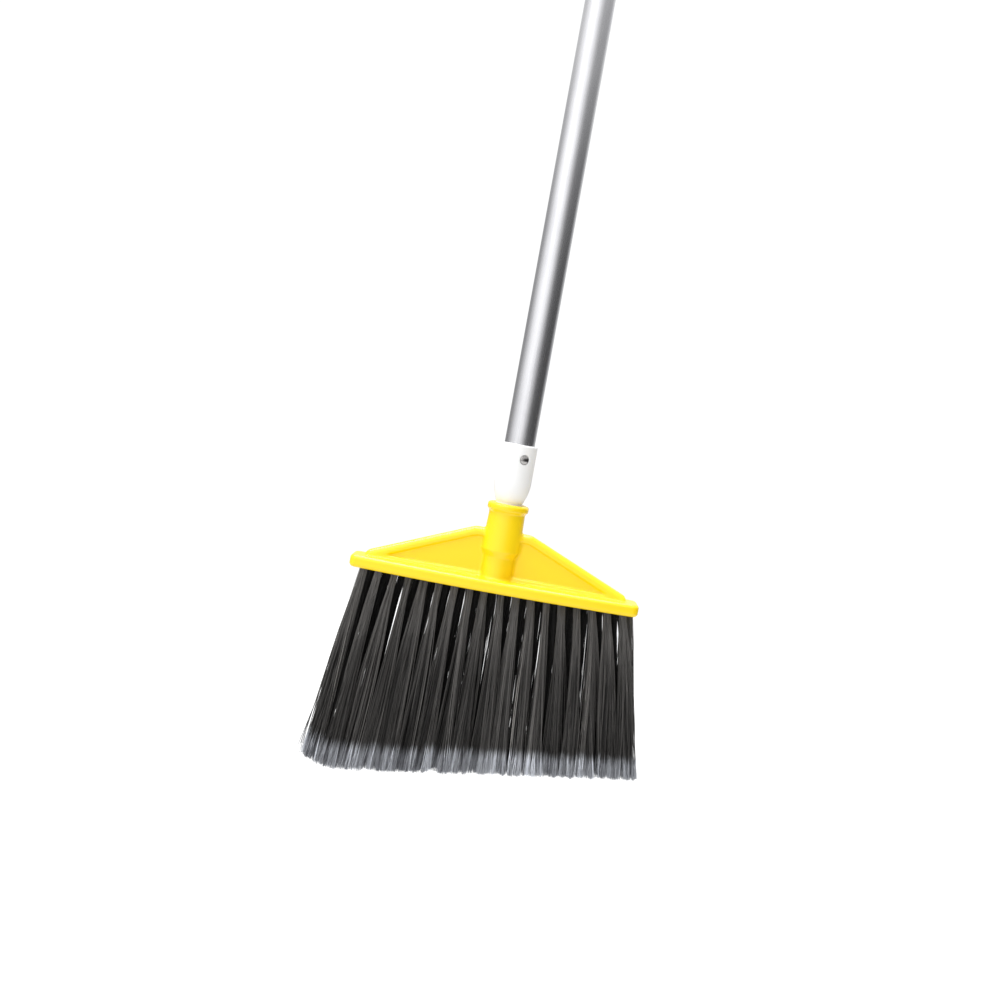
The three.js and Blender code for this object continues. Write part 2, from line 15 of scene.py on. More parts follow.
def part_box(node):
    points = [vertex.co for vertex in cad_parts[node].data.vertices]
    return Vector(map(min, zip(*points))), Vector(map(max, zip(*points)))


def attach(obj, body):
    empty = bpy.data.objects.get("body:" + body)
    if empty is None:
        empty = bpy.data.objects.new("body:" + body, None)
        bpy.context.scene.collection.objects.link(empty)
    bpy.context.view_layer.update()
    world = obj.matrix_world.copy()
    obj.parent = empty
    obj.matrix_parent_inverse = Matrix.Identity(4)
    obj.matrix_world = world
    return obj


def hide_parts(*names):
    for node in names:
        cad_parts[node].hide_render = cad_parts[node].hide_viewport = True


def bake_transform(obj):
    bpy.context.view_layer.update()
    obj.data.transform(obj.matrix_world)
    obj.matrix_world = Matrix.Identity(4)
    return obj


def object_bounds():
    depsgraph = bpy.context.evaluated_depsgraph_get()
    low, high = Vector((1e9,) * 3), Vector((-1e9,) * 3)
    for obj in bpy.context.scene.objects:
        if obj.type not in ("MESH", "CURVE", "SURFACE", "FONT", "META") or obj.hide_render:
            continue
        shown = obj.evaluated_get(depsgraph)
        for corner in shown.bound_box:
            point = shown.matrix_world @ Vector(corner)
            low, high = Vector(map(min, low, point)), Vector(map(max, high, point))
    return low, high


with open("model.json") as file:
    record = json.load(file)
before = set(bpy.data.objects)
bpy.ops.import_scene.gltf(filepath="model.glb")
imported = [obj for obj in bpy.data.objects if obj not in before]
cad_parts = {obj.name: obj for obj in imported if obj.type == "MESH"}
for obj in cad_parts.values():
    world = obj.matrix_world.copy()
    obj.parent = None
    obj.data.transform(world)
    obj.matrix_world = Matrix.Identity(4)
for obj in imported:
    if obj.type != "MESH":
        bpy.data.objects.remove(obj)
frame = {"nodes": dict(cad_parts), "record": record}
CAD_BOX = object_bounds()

LOG = logging.getLogger("broom")
MM = 0.001
Array = np.ndarray
Key = Union[str, int]
Number = Union["Signal", float]
Pair = tuple[float, float]
Triple = tuple[float, float, float]
Colour = tuple[float, float, float, float]


# ------------------------------ node trees


class Signal:
    """An output socket of a node tree, which takes part in arithmetic as a number does."""

    def __init__(self, board: "Board", socket: bpy.types.NodeSocket) -> None:
        """Wraps an output socket of a board's tree."""
        self.board, self.socket = board, socket

    def output(self, name: Key) -> "Signal":
        """Another output of the same node."""
        return Signal(self.board, self.socket.node.outputs[name])

    def math(self, operation: str, other: Number = 0.0) -> "Signal":
        """The result of a Math node on this value and another."""
        return self.board.math(operation, self, other)

    def __add__(self, other: Number) -> "Signal":
        """Returns self + other."""
        return self.board.math("ADD", self, other)

    def __radd__(self, other: Number) -> "Signal":
        """Returns other + self."""
        return self.board.math("ADD", other, self)

    def __sub__(self, other: Number) -> "Signal":
        """Returns self - other."""
        return self.board.math("SUBTRACT", self, other)

    def __rsub__(self, other: Number) -> "Signal":
        """Returns other - self."""
        return self.board.math("SUBTRACT", other, self)

    def __mul__(self, other: Number) -> "Signal":
        """Returns self * other."""
        return self.board.math("MULTIPLY", self, other)

    def __rmul__(self, other: Number) -> "Signal":
        """Returns other * self."""
        return self.board.math("MULTIPLY", other, self)

    def __truediv__(self, other: Number) -> "Signal":
        """Returns self / other."""
        return self.board.math("DIVIDE", self, other)

    def __pow__(self, other: Number) -> "Signal":
        """Returns self ** other."""
        return self.board.math("POWER", self, other)

    def between(self, low: Number, high: Number) -> "Signal":
        """Smooth 0 to 1 as the value goes from low to high."""
        settings = {"interpolation_type": "SMOOTHSTEP"}
        return self.board.node("ShaderNodeMapRange", settings, {"Value": self, 1: low, 2: high})


class Board:
    """A node tree that nodes are added to by type, settings and socket values."""

    def __init__(self, tree: bpy.types.NodeTree) -> None:
        """Takes over a tree and empties it."""
        self.tree = tree
        tree.nodes.clear()

    def node(self, kind: str, settings: dict[str, Any] | None = None,
             inputs: dict[Key, Any] | None = None, output: Key = 0) -> Signal:
        """Adds one node.

        Args:
            kind: the node's type.
            settings: its properties, set first; "stops" fills a colour ramp.
            inputs: values or links of its sockets, by name or place.
            output: the output socket to return.

        Returns:
            The output socket as a signal.
        """
        made = self.tree.nodes.new(kind)
        for key, value in (settings or {}).items():
            if key == "stops":
                self._fill_ramp(made.color_ramp, value)
            else:
                setattr(made, key, value)
        for key, value in (inputs or {}).items():
            if isinstance(value, Signal):
                self.tree.links.new(value.socket, made.inputs[key])
            else:
                made.inputs[key].default_value = value
        return Signal(self, made.outputs[output] if len(made.outputs) else made.inputs[0])

    @staticmethod
    def _fill_ramp(ramp: bpy.types.ColorRamp, stops: Sequence[tuple[float, Triple]]) -> None:
        """Sets a ramp's stops.

        Args:
            ramp: the ramp.
            stops: pairs of place and colour.
        """
        while len(ramp.elements) < len(stops):
            ramp.elements.new(1.0)
        for element, (place, colour) in zip(ramp.elements, stops):
            element.position = place
            element.color = (*colour, 1.0)

    def math(self, operation: str, first: Number, second: Number = 0.0) -> Signal:
        """The result of a Math node."""
        return self.node("ShaderNodeMath", {"operation": operation}, {0: first, 1: second})

    def part(self, vector: Signal, axis: str) -> Signal:
        """A vector's part along X, Y or Z."""
        return self.node("ShaderNodeSeparateXYZ", {}, {0: vector}, axis)

    def vector(self, x: Number = 0.0, y: Number = 0.0, z: Number = 0.0) -> Signal:
        """A vector from its parts."""
        return self.node("ShaderNodeCombineXYZ", {}, {0: x, 1: y, 2: z})

    def scaled(self, vector: Signal, amount: Number) -> Signal:
        """A vector times a number."""
        return self.node("ShaderNodeVectorMath", {"operation": "SCALE"}, {0: vector, 3: amount})

    def combined(self, operation: str, first: Signal, second: Any, output: Key = 0) -> Signal:
        """The result of a Vector Math node on two vectors."""
        return self.node("ShaderNodeVectorMath", {"operation": operation}, {0: first, 1: second}, output)

    def summed(self, first: Signal, second: Signal, amount: Number) -> Signal:
        """A vector plus another times a number."""
        return self.combined("ADD", first, self.scaled(second, amount))

    def place(self, scale: Triple = (1.0, 1.0, 1.0)) -> Signal:
        """Object coordinates, with `scale` pattern units to a metre along each axis."""
        coordinates = self.node("ShaderNodeTexCoord", output="Object")
        return self.node("ShaderNodeMapping", {}, {"Vector": coordinates, "Scale": scale})

    def noise(self, place: Signal, scale: float = 1.0, detail: float = 3.0, roughness: float = 0.5) -> Signal:
        """A noise value from 0 to 1.

        Args:
            place: coordinates.
            scale: features in one coordinate unit.
            detail: octaves.
            roughness: how strong the fine octaves are.

        Returns:
            The noise value.
        """
        inputs = {"Vector": place, "Scale": scale, "Detail": detail, "Roughness": roughness}
        return self.node("ShaderNodeTexNoise", {}, inputs)

    def mix(self, amount: Number, first: Any, second: Any) -> Signal:
        """A colour between two colours: the first at 0 and the second at 1."""
        settings = {"data_type": "RGBA", "clamp_factor": True}
        return self.node("ShaderNodeMix", settings, {0: amount, 6: first, 7: second}, output=2)

    def bump(self, height: Signal, distance: float) -> Signal:
        """A normal from a height in units of `distance` metres."""
        return self.node("ShaderNodeBump", {}, {"Height": height, "Distance": distance, "Strength": 1.0})


def rgb(red: float, green: float, blue: float) -> Colour:
    """A linear colour with full alpha."""
    return (red, green, blue, 1.0)


def grey(level: float) -> Colour:
    """A neutral colour."""
    return rgb(level, level, level)


# ------------------------------ finishes


def principled(name: str, sockets: Callable[[Board], dict[str, Any]]) -> bpy.types.Material:
    """A new material with one Principled shader.

    Args:
        name: the material's name.
        sockets: gives the values and links of the shader's sockets.

    Returns:
        The material.
    """
    made = bpy.data.materials.new(name)
    made.use_nodes = True
    board = Board(made.node_tree)
    shader = board.node("ShaderNodeBsdfPrincipled", {}, sockets(board))
    board.node("ShaderNodeOutputMaterial", {}, {"Surface": shader})
    return made


class Slot(Enum):
    """The record's material slots."""

    YELLOW = "yellow_plastic"
    WHITE = "white_plastic"
    GREY = "grey_plastic"
    TUBE = "tube_aluminium"
    RIVET = "rivet_steel"
    FIBRE = "bristle_fibre"


@dataclass(frozen=True)
class Finish:
    """A finish that can make its own material."""

    name: str
    slot: Slot

    def material(self) -> bpy.types.Material:
        """The material, made at the first call."""
        return bpy.data.materials.get(self.name) or principled(self.name, self.sockets)

    def sockets(self, board: Board) -> dict[str, Any]:
        """Values and links of the Principled shader's sockets."""
        raise NotImplementedError

    def dress(self, piece: bpy.types.Object) -> bpy.types.Object:
        """Gives a piece this finish alone.

        Args:
            piece: a mesh object.

        Returns:
            The same object.
        """
        piece.data.materials.clear()
        piece.data.materials.append(self.material())
        return piece


@dataclass(frozen=True)
class MouldedPlastic(Finish):
    """Injection-moulded plastic: flow marks in the colour, fine orange peel, and dull rubbed patches.

    Scales are features in a metre, and the peel is in metres.
    """

    colour: Colour
    deep: Colour
    roughness: float
    rubbed: float = 0.34
    peel: float = 0.00003
    index: float = 1.5
    flow_scale: Triple = (14.0, 14.0, 30.0)
    scratch_scale: Triple = (60.0, 900.0, 1400.0)
    dust_scale: float = 900.0
    rub_scale: float = 45.0
    peel_scale: float = 420.0

    def sockets(self, board: Board) -> dict[str, Any]:
        """Values and links of the Principled shader's sockets.

        Args:
            board: the material's tree.

        Returns:
            The sockets' values and links by name.
        """
        place = board.place()
        flow = board.noise(board.place(self.flow_scale), detail=4.0)
        dust = board.noise(place, self.dust_scale, 2.0, 0.6)
        rub = board.noise(place, self.rub_scale, 5.0, 0.65).between(0.5, 0.8)
        scratches = board.noise(board.place(self.scratch_scale), detail=2.0).between(0.66, 0.74)
        peel = board.noise(place, self.peel_scale, 2.0, 0.4)
        tint = flow.between(0.3, 0.75) * 0.5 + dust.between(0.62, 0.8) * 0.12
        wear = rub * 0.6 + scratches * 0.4
        return {
            "Base Color": board.mix(tint, self.colour, self.deep),
            "Roughness": wear * (self.rubbed - self.roughness) + self.roughness,
            "Normal": board.bump(peel + scratches * 0.25, self.peel),
            "IOR": self.index,
        }


@dataclass(frozen=True)
class DrawnAluminium(Finish):
    """Drawn tube: fine lines along its length, cloudy oxide and a few scuffs across it.

    Scales are features in a metre, and the lines' depth is in metres.
    """

    bright: Colour = rgb(0.72, 0.72, 0.74)
    dull: Colour = rgb(0.56, 0.56, 0.59)
    roughness: float = 0.2
    line_depth: float = 0.00002
    line_scale: Triple = (2600.0, 2600.0, 9.0)
    cloud_scale: Triple = (60.0, 60.0, 18.0)
    scuff_scale: Triple = (500.0, 500.0, 1700.0)
    patch_scale: Triple = (40.0, 40.0, 25.0)

    def sockets(self, board: Board) -> dict[str, Any]:
        """Values and links of the Principled shader's sockets.

        Args:
            board: the material's tree.

        Returns:
            The sockets' values and links by name.
        """
        lines = board.noise(board.place(self.line_scale), detail=4.0, roughness=0.6)
        cloud = board.noise(board.place(self.cloud_scale), detail=4.0, roughness=0.6)
        scuffs = board.noise(board.place(self.scuff_scale)).between(0.7, 0.8)
        marks = scuffs * board.noise(board.place(self.patch_scale), detail=2.0).between(0.5, 0.7)
        tint = lines.between(0.35, 0.7) * 0.45 + cloud.between(0.4, 0.7) * 0.35 + marks * 0.4
        return {
            "Base Color": board.mix(tint, self.bright, self.dull),
            "Metallic": 1.0,
            "Roughness": lines * 0.08 + cloud * 0.06 + marks * 0.18 + self.roughness,
            "Normal": board.bump(lines + marks * 0.6, self.line_depth),
        }


@dataclass(frozen=True)
class TurnedSteel(Finish):
    """Bright rivet metal with fine grain and a little tarnish.

    Scales are features in a metre, and the grain's depth is in metres.
    """

    bright: Colour = rgb(0.42, 0.41, 0.40)
    tarnish: Colour = rgb(0.16, 0.15, 0.14)
    roughness: float = 0.1
    grain_depth: float = 0.00002
    grain_scale: float = 2400.0
    stain_scale: float = 500.0

    def sockets(self, board: Board) -> dict[str, Any]:
        """Values and links of the Principled shader's sockets.

        Args:
            board: the material's tree.

        Returns:
            The sockets' values and links by name.
        """
        place = board.place()
        grain = board.noise(place, self.grain_scale)
        stain = board.noise(place, self.stain_scale, 4.0, 0.6).between(0.5, 0.75)
        return {
            "Base Color": board.mix(stain * 0.7, self.bright, self.tarnish),
            "Metallic": 1.0,
            "Roughness": grain * 0.1 + stain * 0.15 + self.roughness,
            "Normal": board.bump(grain, self.grain_depth),
        }


@dataclass(frozen=True)
class BristleFibre(Finish):
    """Charcoal filaments whose tips are split and bleached, with painted shade inside the rows. Attributes
    say the place along and how light each filament is, painted shade included.
    """

    # dark is painted shade for the filaments hidden inside the rows; the body colour runs from it to light on
    # the rows' open sides
    dark: Colour = rgb(0.004, 0.0038, 0.0034)
    light: Colour = rgb(0.162, 0.155, 0.148)
    # a painted highlight colour for the brightest outer strands
    painted_glint: Colour = rgb(0.40, 0.38, 0.36)
    split: Colour = rgb(0.13, 0.134, 0.15)
    bleached: Colour = rgb(0.84, 0.87, 0.93)
    roughness: float = 0.45
    frayed_roughness: float = 0.25
    sheen: float = 0.35
    loose_along: Pair = (0.08, 0.5)
    frayed_along: Pair = (0.875, 0.945)

    def sockets(self, board: Board) -> dict[str, Any]:
        """Values and links of the Principled shader's sockets.

        Args:
            board: the material's tree.

        Returns:
            The sockets' values and links by name.
        """
        along = board.node("ShaderNodeAttribute", {"attribute_name": "along"}, output="Fac")
        tone_and_painted_shade = board.node("ShaderNodeAttribute", {"attribute_name": "tone_and_painted_shade"}, output="Fac")
        # painted shade near the root: hidden filaments go dark and the outer ones an even grey
        even = tone_and_painted_shade.between(0.08, 0.3) * 0.75
        lower = along.between(*self.loose_along)
        body = board.mix(even * (1 - lower) + tone_and_painted_shade ** 1.5 * lower, self.dark, self.light)
        # painted highlight: the brightest outer strands, away from the root, take a bright highlight colour
        body = board.mix(tone_and_painted_shade.between(0.94, 0.99) * lower, body, self.painted_glint)
        # the tips follow the same lightness, so painted shade darkens the inner ones too
        tip = board.mix(tone_and_painted_shade.between(0.0, 1.1), self.split, self.bleached)
        frayed = (along + tone_and_painted_shade * 0.04).between(*self.frayed_along)
        return {
            "Base Color": board.mix(frayed, body, tip),
            "Roughness": frayed * self.frayed_roughness + self.roughness,
            "Specular IOR Level": self.sheen,
        }


YELLOW = MouldedPlastic("yellow moulding", Slot.YELLOW, rgb(0.92, 0.652, 0.008), rgb(0.89, 0.615, 0.006),
                        0.18)
WHITE = MouldedPlastic("white moulding", Slot.WHITE, rgb(0.85, 0.85, 0.845), rgb(0.81, 0.81, 0.80), 0.3, 0.4)
GREY = MouldedPlastic("grey moulding", Slot.GREY, rgb(0.045, 0.046, 0.05), rgb(0.03, 0.03, 0.034), 0.4, 0.55)
TUBE = DrawnAluminium("drawn aluminium", Slot.TUBE)
RIVET = TurnedSteel("rivet steel", Slot.RIVET)
FIBRE = BristleFibre("bristle fibre", Slot.FIBRE)


# ------------------------------ surfaces


def round_max(first: Array, second: Array, radius: float) -> Array:
    """The larger of two distances, with the edge between them rounded: for an intersection.

    Args:
        first: distances in mm.
        second: distances in mm.
        radius: the edge's radius in mm.

    Returns:
        The rounded larger distance.
    """
    a = np.maximum(first + radius, 0.0)
    b = np.maximum(second + radius, 0.0)
    return np.minimum(np.maximum(first, second), -radius) + np.hypot(a, b)


def round_min(first: Array, second: Array, radius: float) -> Array:
    """The smaller of two distances, with a fillet of that radius in the corner: for a union."""
    return -round_max(-first, -second, radius)


def round_cut(body: Array, hollow: Array, radius: float) -> Array:
    """The body without the hollow, its new edges rounded."""
    return round_max(body, -hollow, radius)


class SurfaceNet:
    """Turns a distance field into a closed quad mesh with its corners on the surface."""

    MARGIN = 2
    NOT_ZERO = 1e-6
    SETTLINGS = 3
    LONGEST_MOVE = 0.6
    PROBE = 0.02
    FLATTEST = 0.25

    def __init__(self, distance: Callable[[Sequence[Array]], Array], high: Triple, cell: Triple) -> None:
        """Samples the field on a grid.

        Args:
            distance: the field, in mm, negative inside, from places as rows of x, y and z.
            high: highest corner of the box to mesh, in mm; it is centred on the axis and stands on z 0.
            cell: the grid's step along each axis.
        """
        self.distance = distance
        self.cell = np.array(cell)
        low = (-high[0], -high[1], 0.0)
        self.axes = [
            np.arange(start - self.MARGIN * step, stop + (self.MARGIN + 1) * step, step)
            for start, stop, step in zip(low, high, cell)
        ]
        self.values = distance(np.meshgrid(*self.axes, indexing="ij"))
        self.values[self.values == 0] = self.NOT_ZERO

    def _crossings(self) -> tuple[Array, Array]:
        """Finds where each cell's twelve edges cross the surface.

        Returns:
            The sum and the count of each cell's crossing points.
        """
        shape = tuple(size - 1 for size in self.values.shape)
        total = np.zeros((*shape, 3))
        count = np.zeros(shape)
        for axis in range(3):
            near = np.moveaxis(self.values, axis, 0)
            one, two = near[:-1], near[1:]
            crossed = (one < 0) != (two < 0)
            share = np.where(crossed, one / np.where(crossed, one - two, 1.0), 0.0)
            others = [other for other in range(3) if other != axis]
            grid = np.meshgrid(self.axes[axis][:-1], *[self.axes[o] for o in others], indexing="ij")
            point = np.zeros((*crossed.shape, 3))
            point[..., axis] = grid[0] + (self.axes[axis][1] - self.axes[axis][0]) * share
            point[..., others[0]] = grid[1]
            point[..., others[1]] = grid[2]
            point *= crossed[..., None]
            total_view, count_view = np.moveaxis(total, axis, 0), np.moveaxis(count, axis, 0)
            for down in (0, 1):
                for across in (0, 1):
                    rows = slice(down, point.shape[1] - 1 + down)
                    columns = slice(across, point.shape[2] - 1 + across)
                    total_view += point[:, rows, columns]
                    count_view += crossed[:, rows, columns]
        return total, count

    def _quads(self, number: Array) -> Array:
        """Joins the four cells round each grid edge that crosses the surface.

        Args:
            number: each cell's point number.

        Returns:
            Rows of four point numbers, turned to face outwards.
        """
        faces = []
        for axis in range(3):
            near = np.moveaxis(self.values, axis, 0)
            cells = np.moveaxis(number, axis, 0)
            one, two = near[:-1, 1:-1, 1:-1], near[1:, 1:-1, 1:-1]
            ring = [cells[:, :-1, :-1], cells[:, 1:, :-1], cells[:, 1:, 1:], cells[:, :-1, 1:]]
            leaving, entering = (one < 0) & (two > 0), (one > 0) & (two < 0)
            if axis == 1:
                leaving, entering = entering, leaving
            faces.append(np.stack([part[leaving] for part in ring], axis=1))
            faces.append(np.stack([part[entering] for part in ring[::-1]], axis=1))
        return np.concatenate(faces)

    def _settle(self, points: Array) -> Array:
        """Moves points onto the surface along the field's slope.

        Args:
            points: rows of x, y and z in mm.

        Returns:
            The moved points.
        """
        for _ in range(self.SETTLINGS):
            rises = [self.distance((points + offset).T) - self.distance((points - offset).T)
                     for offset in np.eye(3) * self.PROBE]
            slope = np.stack(rises, axis=1) / (2 * self.PROBE)
            steep = np.maximum((slope**2).sum(axis=1), self.FLATTEST)
            move = -(self.distance(points.T) / steep)[:, None] * slope
            length = np.maximum(np.linalg.norm(move, axis=1, keepdims=True), 1e-9)
            points = points + move * np.minimum(1.0, self.LONGEST_MOVE * self.cell.min() / length)
        return points

    def mesh(self, name: str) -> bpy.types.Mesh:
        """Makes the surface.

        Args:
            name: the mesh's name.

        Returns:
            The smooth-shaded mesh, in metres.
        """
        total, count = self._crossings()
        active = count > 0
        points = self._settle(total[active] / count[active][:, None])
        number = np.full(count.shape, -1)
        number[active] = np.arange(len(points))
        made = bpy.data.meshes.new(name)
        made.from_pydata((points * MM).tolist(), [], self._quads(number).tolist())
        made.shade_smooth()
        made.validate()
        return made


def turned_mesh(name: str, outline: Sequence[Pair], segments: int) -> bpy.types.Mesh:
    """A mesh turned about Z from a closed outline.

    Args:
        name: the mesh's name.
        outline: pairs of radius and height in mm, anticlockwise from the lowest point outwards; an outline
            that starts and ends at radius 0 closes on the axis, and any other closes on itself.
        segments: flats in one turn.

    Returns:
        The smooth-shaded mesh, in metres.
    """
    solid = outline[0][0] == 0
    ring_points = outline[1:-1] if solid else outline
    turn = [2 * math.pi * step / segments for step in range(segments)]
    vertices = [(radius * math.cos(angle) * MM, radius * math.sin(angle) * MM, height * MM)
                for radius, height in ring_points for angle in turn]
    flats = [(step, (step + 1) % segments) for step in range(segments)]
    rings = len(ring_points)
    faces = []
    for ring in range(rings - 1 if solid else rings):
        lower, upper = ring * segments, ((ring + 1) % rings) * segments
        faces += [(lower + step, lower + after, upper + after, upper + step) for step, after in flats]
    if solid:
        low, top = len(vertices), (rings - 1) * segments
        vertices += [(0.0, 0.0, outline[0][1] * MM), (0.0, 0.0, outline[-1][1] * MM)]
        for step, after in flats:
            faces += [(low, after, step), (low + 1, top + step, top + after)]
    mesh = bpy.data.meshes.new(name)
    mesh.from_pydata(vertices, [], faces)
    mesh.shade_smooth()
    return mesh


def arc(centre: Pair, radius: float, start: float, end: float, steps: int = 6) -> list[Pair]:
    """Points of a circular arc for an outline.

    Args:
        centre: its distance from the axis and its height.
        radius: the arc's radius.
        start: the angle that it starts at, in degrees from the outward direction.
        end: the angle that it ends at.
        steps: how many steps it takes.

    Returns:
        Pairs of radius and height.
    """
    angles = [math.radians(start + (end - start) * step / steps) for step in range(steps + 1)]
    return [(centre[0] + radius * math.cos(angle), centre[1] + radius * math.sin(angle)) for angle in angles]


# ------------------------------ pieces


def place_piece(name: str, mesh: bpy.types.Mesh) -> bpy.types.Object:
    """Links a mesh to the scene as a piece at the origin.

    Args:
        name: the piece's name.
        mesh: its mesh, in place.

    Returns:
        The piece.
    """
    piece = bpy.data.objects.new(name, mesh)
    bpy.context.scene.collection.objects.link(piece)
    return piece


def report(piece: bpy.types.Object, body: str) -> None:
    """Logs a finished piece with the body that it goes with."""
    LOG.info("%s: %d faces, on %s", piece.name, len(piece.data.polygons), body)


class Part:
    """A piece that stands for one CAD node and moves with one body."""

    NAME = ""
    NODE = ""
    BODY = "handle"
    FINISH = WHITE

    def __post_init__(self) -> None:
        """Reads the CAD node's box in metres and its height in mm from the frame."""
        self.low, self.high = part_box(self.NODE)
        self.height = (self.high.z - self.low.z) / MM

    def mesh(self) -> bpy.types.Mesh:
        """The piece's mesh, in the place of its CAD node."""
        raise NotImplementedError

    def build(self) -> bpy.types.Object:
        """Makes the piece and lets it stand for its CAD node.

        Returns:
            The piece.
        """
        piece = self.FINISH.dress(place_piece(self.NAME, self.mesh()))
        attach(piece, self.BODY)
        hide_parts(self.NODE)
        report(piece, self.BODY)
        return piece


class FieldPart(Part):
    """A part whose surface is where its distance field is 0.

    Distances take places in mm as rows of x, y and z, with z from the part's lowest point.
    """

    cell: Triple

    def distance(self, at: Sequence[Array]) -> Array:
        """Distances from places to the part's surface, negative inside."""
        raise NotImplementedError

    def reach(self) -> Pair:
        """How far the part reaches along X and Y, in mm."""
        raise NotImplementedError

    def mesh(self) -> bpy.types.Mesh:
        """Meshes the field.

        Returns:
            The mesh, in the place of its CAD node.
        """
        made = SurfaceNet(self.distance, (*self.reach(), self.height), self.cell).mesh(self.NAME)
        made.transform(Matrix.Translation((0, 0, self.low.z)))
        return made


class TurnedPart(Part):
    """A part turned about Z from its outline."""

    SEGMENTS = 96

    def outline(self) -> list[Pair]:
        """Pairs of radius and height in mm."""
        raise NotImplementedError

    def mesh(self) -> bpy.types.Mesh:
        """The turned mesh."""
        return turned_mesh(self.NAME, self.outline(), self.SEGMENTS)


@dataclass(frozen=True)
class BroomThread:
    """The coarse thread that the handle screws in by. Lengths are in mm."""

    core_radius: float = 7.3
    crest_radius: float = 9.5
    pitch: float = 5.08
    root_width: float = 3.1
    crest_width: float = 1.0
    turns: float = 4.5
    run_out: float = 1.5

    @property
    def depth(self) -> float:
        """How far the crest stands above the core."""
        return self.crest_radius - self.core_radius

    def ridge(self, x: Array, y: Array, from_middle: Array) -> Array:
        """How high the ridge stands above the core, from 0 to 1, for an endless thread.

        Args:
            x: distance along X from the axis.
            y: distance along Y from the axis.
            from_middle: height above the middle of the thread.

        Returns:
            The share of the ridge's full height.
        """
        turn = from_middle / self.pitch - np.arctan2(y, x) / (2 * math.pi)
        off = np.abs(turn - np.round(turn)) * self.pitch
        flank = (self.root_width - self.crest_width) / 2
        return np.clip((self.root_width / 2 - off) / flank, 0.0, 1.0)


THREAD = BroomThread()


# ------------------------------ head


